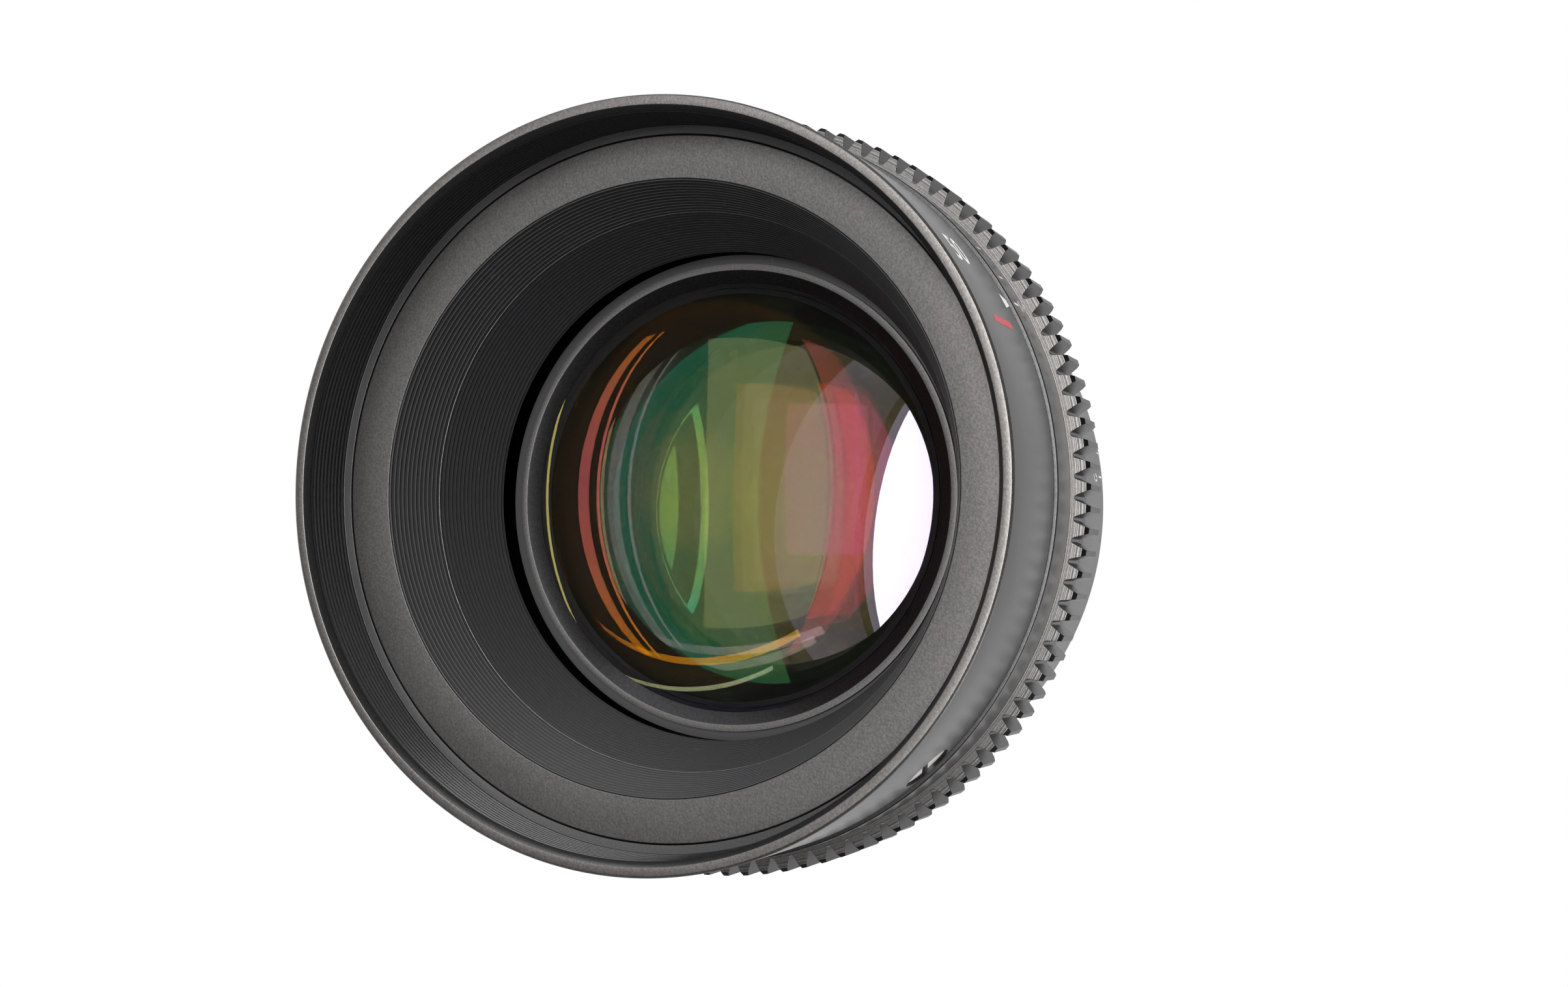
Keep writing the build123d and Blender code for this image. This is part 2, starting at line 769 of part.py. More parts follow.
with BuildPart() as front_cell:
    with BuildSketch(Plane.XY):
        turned(
            (cell_thread, front_cell_front),
            (front_cell_radius, front_cell_front),
            (front_cell_radius, web_face),
            (doublet_bore, web_face),
            (doublet_bore, lip_rear),
            (lip_bore, lip_rear),
            (lip_bore, lip_front),
            (doublet_bore, lip_front),
            (second_bore, second_shoulder),
            (second_bore, front_glass_back_edge + glass_gap),
            (front_glass_bore, front_glass_back_edge + glass_gap),
            (front_glass_bore, retainer_rear + glass_gap),
            (cell_thread, retainer_rear + glass_gap),
        )
    revolve(axis=Axis.Y)
    with BuildSketch(facing_front(web_face)):
        with PolarLocations(cell_screw_circle, cell_screw_count):
            Circle(cell_screw_radius)
    extrude(amount=2 * carrier_web, mode=Mode.SUBTRACT)
front_cell.part.label = "front_cell"
export_step(front_cell.part, "parts/front_cell.step")

with BuildPart() as cell_screws:
    with BuildSketch(facing_front(web_back)):
        with PolarLocations(cell_screw_circle, cell_screw_count):
            Circle(cell_screw_head)
    extrude(amount=cell_screw_head_height)
    with BuildSketch(facing_front(web_back - cell_screw_head_height)):
        with PolarLocations(cell_screw_circle, cell_screw_count):
            Circle(cell_screw_radius)
    extrude(amount=2 * carrier_web)
cell_screws.part.label = "cell_screws"
export_step(cell_screws.part, "parts/cell_screws.step")

with BuildPart() as front_spacer:
    spacer_bore = second_radius - front_spacer_wall
    with BuildSketch(Plane.XY):
        turned(
            (spacer_bore, front_back_vertex + sag(front_element_back_curve, spacer_bore) + glass_gap),
            (second_radius, front_back_vertex + sag(front_element_back_curve, second_radius) + glass_gap),
            (second_radius, second_edge - glass_gap),
            (spacer_bore, second_vertex + sag(second_element_curve, spacer_bore) - glass_gap),
        )
    revolve(axis=Axis.Y)
front_spacer.part.label = "front_spacer"
export_step(front_spacer.part, "parts/front_spacer.step")

with BuildPart() as front_group_ring:
    ring_front = doublet_back_edge + glass_gap
    with BuildSketch(Plane.XY):
        turned(
            (web_bore - group_ring_wall, ring_front),
            (web_bore, ring_front),
            (web_bore, ring_front + group_ring_length),
            (web_bore - group_ring_wall, ring_front + group_ring_length),
        )
    revolve(axis=Axis.Y)
front_group_ring.part.label = "front_group_ring"
export_step(front_group_ring.part, "parts/front_group_ring.step")

# Iris unit on the back of the web
base_plate_rear = web_back + base_plate_thickness
blade_stack = base_plate_rear + shoulder_play
cam_plate_front = blade_stack + blade_pitch * blade_count + cam_plate_gap
cam_plate_rear = cam_plate_front + cam_plate_thickness
housing_inside = cam_plate_rear + cam_plate_gap
housing_rear = housing_inside + housing_back
cam_plate_radius = housing_bore - running_clearance
pivot_radius = housing_bore - pivot_inset
blade_outer = pivot_radius - blade_edge_inset
blade_inner = blade_outer - blade_width
full_aperture = blade_inner - aperture_lip
lever_start = (
    pivot_radius - lever_length * sin(radians(blade_turn / 2)),
    lever_length * cos(radians(blade_turn / 2)),
)


def lever_pin(share):
    """Place of a blade's cam pin when the iris is closed by a share of its throw."""
    turn = -radians(blade_turn * share)
    across = lever_start[0] - pivot_radius
    along = lever_start[1]
    return (
        pivot_radius + across * cos(turn) - along * sin(turn),
        across * sin(turn) + along * cos(turn),
    )


def cam_point(share):
    """The same pin seen from the cam plate, which has turned by its own share of the throw."""
    across, along = lever_pin(share)
    angle = atan2(along, across) + radians(iris_throw * share)
    return (hypot(across, along) * cos(angle), hypot(across, along) * sin(angle))


tab_angle = drive_pin_angle
tab_half_angle = degrees(asin(tab_width / 2 / housing_bore)) + 1.5
fork_seat = housing_radius + tab_reach

with BuildPart() as iris_housing:
    with BuildSketch(Plane.XY):
        turned(
            (housing_bore, web_back),
            (housing_radius, web_back),
            (housing_radius, housing_rear),
            (rear_cell_radius, housing_rear),
            (rear_cell_radius, housing_inside),
            (housing_bore, housing_inside),
        )
    revolve(axis=Axis.Y)
    with BuildSketch(Plane.XY.rotated((0, -tab_half_angle - tab_angle, 0))):
        Polygon(
            (housing_bore - 1, at(cam_plate_front - cam_plate_gap)),
            (housing_radius + 1, at(cam_plate_front - cam_plate_gap)),
            (housing_radius + 1, at(housing_inside)),
            (housing_bore - 1, at(housing_inside)),
            align=None,
        )
    revolve(axis=Axis.Y, revolution_arc=iris_throw + 2 * tab_half_angle, mode=Mode.SUBTRACT)
iris_housing.part.label = "iris_housing"
export_step(iris_housing.part, "parts/iris_housing.step")

with BuildPart() as iris_base_plate:
    with BuildSketch(facing_front(web_back)):
        Circle(housing_bore)
        Circle(full_aperture, mode=Mode.SUBTRACT)
        with PolarLocations(pivot_radius, blade_count):
            Circle(blade_pin_radius + pin_play, mode=Mode.SUBTRACT)
        with PolarLocations(screw_circle, iris_screw_count, start_angle=20):
            Circle(iris_screw_radius, mode=Mode.SUBTRACT)
    extrude(amount=-base_plate_thickness)
iris_base_plate.part.label = "iris_base_plate"
export_step(iris_base_plate.part, "parts/iris_base_plate.step")

with BuildPart() as iris_screws:
    with BuildSketch(facing_front(base_plate_rear)):
        with PolarLocations(screw_circle, iris_screw_count, start_angle=20):
            Circle(iris_screw_radius)
    extrude(amount=base_plate_thickness + iris_screw_length)
iris_screws.part.label = "iris_screws"
export_step(iris_screws.part, "parts/iris_screws.step")

with BuildPart() as iris_cam_plate:
    with BuildSketch(facing_front(cam_plate_front)):
        Circle(cam_plate_radius)
        Circle(full_aperture + 1.5, mode=Mode.SUBTRACT)
    extrude(amount=-cam_plate_thickness)
    with BuildSketch(facing_front(cam_plate_front, tab_angle)):
        with Locations(((cam_plate_radius + fork_seat) / 2 - 0.5, 0)):
            Rectangle(fork_seat - cam_plate_radius + 1, tab_width)
    extrude(amount=-cam_plate_thickness)
    for angle in evenly(blade_count, 0):
        with BuildSketch(facing_front(cam_plate_front, angle)):
            with BuildLine():
                Spline(*[cam_point(step / 6) for step in range(7)])
            trace(line_width=2 * (blade_pin_radius + pin_play))
            with Locations(cam_point(0), cam_point(1)):
                Circle(blade_pin_radius + pin_play)
        extrude(amount=-cam_plate_thickness, mode=Mode.SUBTRACT)
iris_cam_plate.part.label = "iris_cam_plate"
export_step(iris_cam_plate.part, "parts/iris_cam_plate.step")

# The fork is a channel along the axis, so that the drive pin stays in it while the optics slide
fork_front = web_back + fork_margin
fork_rear = drive_pin_depth + drive_pin_radius + fork_margin
fork_half = drive_pin_radius + pin_play
fork_top = fork_seat + fork_floor + fork_depth

with BuildPart() as iris_drive_fork:
    with BuildSketch(facing_front(fork_front, tab_angle)):
        Polygon(
            (fork_seat, -fork_half - fork_prong),
            (fork_top, -fork_half - fork_prong),
            (fork_top, -fork_half),
            (fork_seat + fork_floor, -fork_half),
            (fork_seat + fork_floor, fork_half),
            (fork_top, fork_half),
            (fork_top, fork_half + fork_prong),
            (fork_seat, fork_half + fork_prong),
            align=None,
        )
    extrude(amount=fork_front - fork_rear)
iris_drive_fork.part.label = "iris_drive_fork"
export_step(iris_drive_fork.part, "parts/iris_drive_fork.step")

with BuildPart() as iris_drive_pin:
    with BuildSketch(facing_out(pin_seat, drive_pin_depth, drive_pin_angle)):
        Circle(drive_pin_head)
    extrude(amount=drive_pin_head_height)
    with BuildSketch(facing_out(pin_seat, drive_pin_depth, drive_pin_angle)):
        Circle(drive_pin_radius)
    extrude(amount=fork_seat + fork_floor + fork_angle_gap - pin_seat)
    slot_depth = drive_pin_head_height / 2
    with BuildSketch(facing_out(pin_seat + slot_depth, drive_pin_depth, drive_pin_angle)):
        Rectangle(3 * drive_pin_head, drive_slot_width)
    extrude(amount=drive_pin_head_height, mode=Mode.SUBTRACT)
iris_drive_pin.part.label = "iris_drive_pin"
export_step(iris_drive_pin.part, "parts/iris_drive_pin.step")

for index, angle in enumerate(evenly(blade_count, 0)):
    blade_front = blade_stack + blade_pitch * index
    with BuildPart() as iris_blade:
        with BuildSketch(facing_front(blade_front, angle)):
            with BuildLine():
                outer = CenterArc((0, 0), blade_outer, 0, -blade_arc)
                inner = CenterArc((0, 0), blade_inner, 0, -blade_arc)
                Line(outer @ 0, inner @ 0)
                Line(outer @ 1, inner @ 1)
            make_face()
            with BuildLine():
                Line((pivot_radius, 0), lever_start)
            trace(line_width=4 * blade_pin_radius)
            with BuildLine():
                Line((pivot_radius, 0), ((blade_inner + blade_outer) / 2, -2 * blade_pin_radius))
            trace(line_width=8 * blade_pin_radius)
            with Locations((pivot_radius, 0)):
                Circle(4 * blade_pin_radius)
            with Locations(lever_start):
                Circle(2.4 * blade_pin_radius)
        extrude(amount=-blade_thickness)
        with BuildSketch(facing_front(blade_front, angle)):
            with Locations((pivot_radius, 0)):
                Circle(blade_pin_radius)
        extrude(amount=blade_front - web_back - shoulder_play)
        with BuildSketch(facing_front(blade_front, angle)):
            with Locations(lever_start):
                Circle(blade_pin_radius)
        extrude(amount=blade_front - cam_plate_rear)
    iris_blade.part.label = f"iris_blade_{index + 1}"
    export_step(iris_blade.part, f"parts/iris_blade_{index + 1}.step")

# Rear group, screwed into the back of the iris housing
flint_edge = housing_rear
flint_vertex = flint_edge + sag(rear_doublet_front_curve, rear_doublet_aperture)
rear_cement_vertex = flint_vertex + rear_flint_thickness
crown_vertex = rear_cement_vertex + rear_crown_thickness
crown_edge = crown_vertex - sag(rear_doublet_back_curve, rear_doublet_radius)
fifth_vertex = crown_vertex + fifth_air
fifth_edge = fifth_vertex - sag(fifth_front_curve, fifth_radius)
fifth_back_vertex = fifth_vertex + fifth_thickness
fifth_back_edge = fifth_back_vertex - sag(fifth_back_curve, fifth_radius)
rear_vertex = fifth_back_vertex + rear_element_air
rear_edge = rear_vertex + sag(rear_element_curve, fifth_radius)
rear_back_vertex = rear_vertex + rear_element_thickness
rear_back_edge = rear_back_vertex - sag(rear_element_back_curve, fifth_radius)
rear_cell_rear = rear_back_edge + glass_gap + rear_ring_length + 0.3
rear_step_depth = crown_edge + 0.8

with BuildPart() as rear_cell:
    small_bore = rear_doublet_radius + glass_gap
    large_bore = fifth_radius + glass_gap
    flange = rear_cell_radius + rear_cell_flange
    with BuildSketch(Plane.XY):
        turned(
            (rear_doublet_aperture + 1, housing_inside + glass_gap),
            (rear_cell_radius, housing_inside + glass_gap),
            (rear_cell_radius, housing_rear),
            (flange, housing_rear),
            (flange, housing_rear + rear_cell_flange_thickness),
            (rear_cell_radius, housing_rear + rear_cell_flange_thickness),
            (rear_cell_radius, rear_cell_rear - rear_cell_end_length),
            (rear_cell_radius - rear_cell_end_step, rear_cell_rear - rear_cell_end_length),
            (rear_cell_radius - rear_cell_end_step, rear_cell_rear),
            (large_bore, rear_cell_rear),
            (large_bore, rear_step_depth),
            (small_bore, rear_step_depth),
            (small_bore, flint_edge - glass_gap),
            (rear_doublet_aperture + 1, flint_edge - glass_gap),
        )
    revolve(axis=Axis.Y)
rear_cell.part.label = "rear_cell"
export_step(rear_cell.part, "parts/rear_cell.step")

with BuildPart() as rear_spacer:
    bore = rear_doublet_radius - spacer_wall / 1.5
    with BuildSketch(Plane.XY):
        turned(
            (bore, crown_vertex - sag(rear_doublet_back_curve, bore) + glass_gap),
            (rear_doublet_radius, crown_edge + glass_gap),
            (rear_doublet_radius, rear_step_depth + glass_gap),
            (fifth_radius, rear_step_depth + glass_gap),
            (fifth_radius, fifth_edge - glass_gap),
            (bore, fifth_vertex - sag(fifth_front_curve, bore) - glass_gap),
        )
    revolve(axis=Axis.Y)
rear_spacer.part.label = "rear_spacer"
export_step(rear_spacer.part, "parts/rear_spacer.step")

with BuildPart() as last_spacer:
    bore = fifth_radius - spacer_wall
    with BuildSketch(Plane.XY):
        turned(
            (bore, fifth_back_vertex - sag(fifth_back_curve, bore) + glass_gap),
            (fifth_radius, fifth_back_edge + glass_gap),
            (fifth_radius, rear_edge - glass_gap),
            (bore, rear_vertex + sag(rear_element_curve, bore) - glass_gap),
        )
    revolve(axis=Axis.Y)
last_spacer.part.label = "last_spacer"
export_step(last_spacer.part, "parts/last_spacer.step")

with BuildPart() as rear_retaining_ring:
    bore = fifth_radius - spacer_wall
    with BuildSketch(Plane.XY):
        turned(
            (bore, rear_back_vertex - sag(rear_element_back_curve, bore) + glass_gap),
            (fifth_radius, rear_back_edge + glass_gap),
            (fifth_radius, rear_back_edge + glass_gap + rear_ring_length),
            (bore, rear_back_edge + glass_gap + rear_ring_length),
        )
    revolve(axis=Axis.Y)
rear_retaining_ring.part.label = "rear_retaining_ring"
export_step(rear_retaining_ring.part, "parts/rear_retaining_ring.step")

# Each glass: radius, front vertex and curve, back vertex and curve, flat rim radii of hollow faces.
# A curve is positive when its centre lies behind the face.
glasses = {
    "front_element": (
        front_glass_radius,
        front_vertex, front_element_curve, front_glass_radius,
        front_back_vertex, front_element_back_curve, front_glass_radius,
    ),
    "second_element": (
        second_radius,
        second_vertex, second_element_curve, second_radius,
        second_back_vertex, second_element_back_curve, second_radius,
    ),
    "front_doublet_crown": (
        doublet_radius,
        doublet_vertex, doublet_curve, doublet_radius,
        doublet_cement_vertex, doublet_cement_curve, doublet_radius,
    ),
    "front_doublet_flint": (
        doublet_radius,
        doublet_cement_vertex, doublet_cement_curve, doublet_radius,
        doublet_back_vertex, doublet_back_curve, doublet_back_aperture,
    ),
    "rear_doublet_flint": (
        rear_doublet_radius,
        flint_vertex, -rear_doublet_front_curve, rear_doublet_aperture,
        rear_cement_vertex, rear_doublet_cement_curve, rear_doublet_radius,
    ),
    "rear_doublet_crown": (
        rear_doublet_radius,
        rear_cement_vertex, rear_doublet_cement_curve, rear_doublet_radius,
        crown_vertex, -rear_doublet_back_curve, rear_doublet_radius,
    ),
    "fifth_element": (
        fifth_radius,
        fifth_vertex, -fifth_front_curve, fifth_radius,
        fifth_back_vertex, -fifth_back_curve, fifth_radius,
    ),
    "rear_element": (
        fifth_radius,
        rear_vertex, rear_element_curve, fifth_radius,
        rear_back_vertex, -rear_element_back_curve, fifth_radius,
    ),
}


def face_point(vertex, curve, radius):
    """Point of a spherical face, at a radius."""
    bend = sag(abs(curve), radius)
    return (radius, at(vertex + bend if curve > 0 else vertex - bend))


for name, (rim, front, front_curve, front_rim, back, back_curve, back_rim) in glasses.items():
    with BuildPart() as glass:
        with BuildSketch(Plane.XY):
            with BuildLine():
                front_mid = face_point(front, front_curve, front_rim / 2)
                front_end = face_point(front, front_curve, front_rim)
                back_mid = face_point(back, back_curve, back_rim / 2)
                back_end = face_point(back, back_curve, back_rim)
                ThreePointArc((0, at(front)), front_mid, front_end)
                if rim > front_rim:
                    Line(front_end, (rim, front_end[1]))
                Line((rim, front_end[1]), (rim, back_end[1]))
                if rim > back_rim:
                    Line((rim, back_end[1]), back_end)
                ThreePointArc(back_end, back_mid, (0, at(back)))
                Line((0, at(back)), (0, at(front)))
            make_face()
        revolve(axis=Axis.Y)
    glass.part.label = name
    export_step(glass.part, f"parts/{name}.step")

# Rear shell: seats on the tail of the guide barrel and carries the mount on its neck
rear_barrel_radius = iris_band_radius - rear_barrel_step
cavity_radius = rear_barrel_shoulder - rear_barrel_wall
cavity_rear = max(guide_rear, fork_rear + focus_travel) + 0.9
shoulder_rear = cavity_rear + rear_barrel_wall
neck_rear = front_to_seat - mount_thickness
mount_screw_circle = (neck_radius + neck_bore) / 2

with BuildPart() as rear_barrel:
    with BuildSketch(Plane.XY):
        turned(
            (iris_land, rear_barrel_front),
            (rear_barrel_radius, rear_barrel_front),
            (rear_barrel_radius, rear_barrel_front + rear_barrel_land),
            (rear_barrel_shoulder, shoulder_rear - rear_barrel_wall / 2),
            (rear_barrel_shoulder - rear_barrel_wall / 2, shoulder_rear),
            (neck_radius, shoulder_rear),
            (neck_radius, neck_rear),
            (neck_bore, neck_rear),
            (neck_bore, cavity_rear),
            (cavity_radius, cavity_rear),
            (cavity_radius, guide_rear),
            (iris_land, guide_rear),
        )
    revolve(axis=Axis.Y)
    with BuildSketch(facing_front(neck_rear)):
        with PolarLocations(mount_screw_circle, mount_screw_count):
            Circle(mount_screw_radius)
    extrude(amount=mount_screw_length - mount_thickness + 2 * shoulder_play, mode=Mode.SUBTRACT)
    for angle in evenly(rear_screw_count, 0):
        with BuildSketch(facing_out(iris_land - guide_wall, rear_barrel_front + 1.3, angle)):
            Circle(rear_screw_radius)
        extrude(amount=2 * guide_wall + rear_barrel_radius - iris_land, mode=Mode.SUBTRACT)
rear_barrel.part.label = "rear_barrel"
export_step(rear_barrel.part, "parts/rear_barrel.step")

with BuildPart() as rear_barrel_screws:
    for angle in evenly(rear_screw_count, 0):
        with BuildSketch(facing_out(iris_land, rear_barrel_front + 1.3, angle)):
            Circle(rear_screw_radius)
        extrude(amount=rear_barrel_radius - iris_land - shoulder_play)
rear_barrel_screws.part.label = "rear_barrel_screws"
export_step(rear_barrel_screws.part, "parts/rear_barrel_screws.step")

head_rear = front_to_seat - mount_screw_sink
head_cone = mount_screw_head - mount_screw_radius

with BuildPart() as mount_flange:
    with BuildSketch(facing_front(neck_rear)):
        Circle(flange_radius)
        with PolarLocations(0, ear_count, start_angle=45):
            corner_along = 1.2 * ear_radius * cos(radians(ear_span / 2))
            corner_across = 1.2 * ear_radius * sin(radians(ear_span / 2))
            Polygon((0, 0), (corner_along, -corner_across), (corner_along, corner_across), align=None)
        Circle(ear_radius, mode=Mode.INTERSECT)
        Circle(register_bore, mode=Mode.SUBTRACT)
    extrude(amount=-mount_thickness)
    with BuildSketch(Plane.XY):
        turned(
            (register_bore, neck_rear),
            (register_radius, neck_rear),
            (register_radius, front_to_seat + register_length - register_bevel),
            (register_radius - register_bevel, front_to_seat + register_length),
            (register_bore, front_to_seat + register_length),
        )
    revolve(axis=Axis.Y)
    with BuildSketch(facing_front(front_to_seat, 45)):
        with Locations((ear_radius, 0)):
            Rectangle(2 * index_notch_depth, index_notch_width)
    extrude(amount=mount_thickness, mode=Mode.SUBTRACT)
    with BuildSketch(facing_front(front_to_seat)):
        with PolarLocations(mount_screw_circle, mount_screw_count):
            Circle(mount_screw_head)
    extrude(amount=mount_screw_sink, mode=Mode.SUBTRACT)
    with BuildSketch(facing_front(head_rear)):
        with PolarLocations(mount_screw_circle, mount_screw_count):
            Circle(mount_screw_head)
    extrude(amount=head_cone, taper=45, mode=Mode.SUBTRACT)
    with BuildSketch(facing_front(front_to_seat)):
        with PolarLocations(mount_screw_circle, mount_screw_count):
            Circle(mount_screw_radius)
    extrude(amount=mount_thickness, mode=Mode.SUBTRACT)
mount_flange.part.label = "mount_flange"
export_step(mount_flange.part, "parts/mount_flange.step")

with BuildPart() as mount_screws:
    with BuildSketch(facing_front(head_rear)):
        with PolarLocations(mount_screw_circle, mount_screw_count):
            Circle(mount_screw_head)
    extrude(amount=head_cone, taper=45)
    with BuildSketch(facing_front(head_rear - head_cone)):
        with PolarLocations(mount_screw_circle, mount_screw_count):
            Circle(mount_screw_radius)
    extrude(amount=mount_screw_length - head_cone)
    with BuildSketch(facing_front(head_rear)):
        with PolarLocations(mount_screw_circle, mount_screw_count):
            Rectangle(2 * mount_screw_radius, mount_screw_slot)
            Rectangle(mount_screw_slot, 2 * mount_screw_radius)
    extrude(amount=head_cone, mode=Mode.SUBTRACT)
mount_screws.part.label = "mount_screws"
export_step(mount_screws.part, "parts/mount_screws.step")

with BuildPart() as rear_light_shade:
    shade_front = front_to_seat + register_length - shade_depth
    with BuildSketch(Plane.XY):
        turned(
            (register_bore - shade_rim, shade_front + shade_length / 2),
            (register_bore - 1, shade_front),
            (register_bore, shade_front),
            (register_bore, shade_front + shade_length),
            (register_bore - shade_rim, shade_front + shade_length),
        )
    revolve(axis=Axis.Y)
rear_light_shade.part.label = "rear_light_shade"
export_step(rear_light_shade.part, "parts/rear_light_shade.step")
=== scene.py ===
# %% [markdown]
# # A cinema prime lens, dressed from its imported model
#
# The lens is a turned thing: almost every piece of it came off a lathe. So this lesson works as a
# turner does. A piece is a half section, a short list of radii and depths, that is spun round the
# optical axis. What is not turned, such as gear teeth and engraving, is cut or laid on afterwards.
#
# All sizes are in millimetres behind the front rim until the last moment, when they become metres.

import json
from math import cos, pi, radians, sin, sqrt, tan

import bmesh
import bpy
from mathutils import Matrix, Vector

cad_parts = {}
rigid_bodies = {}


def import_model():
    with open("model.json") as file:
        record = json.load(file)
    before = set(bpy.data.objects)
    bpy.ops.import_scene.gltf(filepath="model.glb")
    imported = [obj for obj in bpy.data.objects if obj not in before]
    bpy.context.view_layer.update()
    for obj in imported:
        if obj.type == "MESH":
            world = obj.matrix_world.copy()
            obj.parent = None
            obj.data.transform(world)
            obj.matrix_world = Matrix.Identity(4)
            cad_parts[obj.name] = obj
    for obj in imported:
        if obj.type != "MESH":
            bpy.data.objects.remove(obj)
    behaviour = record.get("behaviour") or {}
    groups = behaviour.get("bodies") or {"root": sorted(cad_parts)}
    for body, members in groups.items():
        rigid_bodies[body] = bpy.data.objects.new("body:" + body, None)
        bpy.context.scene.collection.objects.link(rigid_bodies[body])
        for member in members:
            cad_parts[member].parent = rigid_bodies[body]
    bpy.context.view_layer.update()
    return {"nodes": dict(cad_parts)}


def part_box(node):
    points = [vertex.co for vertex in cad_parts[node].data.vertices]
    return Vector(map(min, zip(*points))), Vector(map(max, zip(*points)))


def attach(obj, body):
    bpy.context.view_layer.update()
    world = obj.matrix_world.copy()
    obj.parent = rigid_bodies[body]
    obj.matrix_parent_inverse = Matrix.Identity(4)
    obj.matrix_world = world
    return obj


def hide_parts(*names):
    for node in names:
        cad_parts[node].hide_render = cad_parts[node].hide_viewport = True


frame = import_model()
nodes = frame["nodes"]

# %% [markdown]
# ## Where things are
#
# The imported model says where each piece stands. The optical axis is Y, the front faces -Y and the
# origin is on the camera seat. Depths behind the front rim read more easily than Y, so the place of
# the front rim is asked of the model once, and every depth below starts from it.

# %% Depths and radii that the frame gives
MM = 0.001
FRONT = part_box("front_barrel")[0].y / MM


def depths_of(node):
    """Front and rear of a node, in millimetres behind the front rim."""
    low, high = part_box(node)
    return low.y / MM - FRONT, high.y / MM - FRONT


def radius_of(node):
    """Largest radius of a turned node, in millimetres."""
    low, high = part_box(node)
    return max(high.x, high.z, -low.x, -low.z) / MM


BARREL_RADIUS = radius_of("front_barrel")
BARREL_REAR = depths_of("front_barrel")[1]
BAND_RADIUS = radius_of("focus_ring")
BAND_FRONT = depths_of("focus_ring")[0]
GEAR_TIP = radius_of("focus_gear")
GEAR_FRONT, GEAR_REAR = depths_of("focus_gear")
IRIS_RADIUS = radius_of("iris_ring")
IRIS_FRONT, IRIS_REAR = depths_of("iris_ring")
print("front rim at y", round(FRONT, 2), "mm, barrel radius", round(BARREL_RADIUS, 2), "mm")
print("focus band from", round(BAND_FRONT, 2), "to", round(GEAR_FRONT, 2), "mm deep")

# %% [markdown]
# ## The camera
#
# The camera stands low and to the right of the lens's axis, and looks a little up at it. Its place
# was worked out from the photographed circles: each turned edge shows as an ellipse, and one camera
# fits them all. Its angles are the compass turn round Z and the tilt above the horizon.

# %% The camera
CAMERA_RIGHT = 95.6
CAMERA_AHEAD = 211.7
CAMERA_BELOW = 13.75
CAMERA_TURN = 20.1
CAMERA_TILT = 3.1
CAMERA_LENS = 47.89

camera_data = bpy.data.cameras.new("camera")
camera_data.lens = CAMERA_LENS
camera_data.sensor_width = 36
camera_data.clip_start = 0.01
camera = bpy.data.objects.new("camera", camera_data)
camera.location = (CAMERA_RIGHT * MM, (FRONT - CAMERA_AHEAD) * MM, -CAMERA_BELOW * MM)
camera.rotation_euler = (radians(90 + CAMERA_TILT), 0, radians(CAMERA_TURN))
bpy.context.scene.collection.objects.link(camera)
bpy.context.scene.camera = camera
print("the camera stands at", [round(v, 3) for v in camera.location])

# %% [markdown]
# ## Colours and nodes
#
# A finish is written down as the sRGB hex value that a paint card or a screen shows. Blender's
# shaders count in linear light, so one function turns the first into the second. One more small
# function adds a node, with its settings and its links, so that a material reads as a recipe. Noise
# is laid out in the object's own metres, so its scale is one over the real size of the pattern.

# %% Helpers for every material


def colour(code):
    """Linear RGBA of an sRGB hex value."""
    parts = [int(code[i : i + 2], 16) / 255 for i in (1, 3, 5)]
    linear = [c / 12.92 if c <= 0.04045 else ((c + 0.055) / 1.055) ** 2.4 for c in parts]
    return (*linear, 1.0)


def add(tree, kind, settings=None, inputs=None):
    """Adds a node; an input is a plain value or another node's output."""
    node = tree.nodes.new(kind)
    for name, value in (settings or {}).items():
        setattr(node, name, value)
    for name, value in (inputs or {}).items():
        if isinstance(value, bpy.types.NodeSocket):
            tree.links.new(value, node.inputs[name])
        else:
            node.inputs[name].default_value = value
    return node


def new_material(name):
    """An empty material with its output node and the object's own coordinates."""
    material = bpy.data.materials.new(name)
    material.use_nodes = True
    tree = material.node_tree
    tree.nodes.clear()
    output = add(tree, "ShaderNodeOutputMaterial")
    place = add(tree, "ShaderNodeTexCoord").outputs["Object"]
    return material, tree, output, place


# %% [markdown]
# ## Black anodised aluminium
#
# The shell is aluminium, turned, blasted very finely and anodised black. The dye sits in a clear
# oxide layer over bare metal, so the surface is a dark metal with a soft, wide sheen rather than a
# black paint. The blast leaves a grain of about 0.1 mm. That is finer than a pixel of the render, so
# the grain is drawn at 0.25 to 0.3 mm, and shallow, to show as the slight mottle that the eye sees.
#
# One recipe makes all of them. The wide ring in the mouth is greyer and its grain is deeper. The front
# face of the rim is painted lighter as a highlight, the cut faces of the gears and the bevels of the
# glass ring are painted darker as shade, and one edge is painted almost white as a highlight.

# %% Black anodised aluminium
GRAIN_HEIGHT = 0.05
CLOUD_SIZE = 18
GLOSS_SPREAD = 0.03


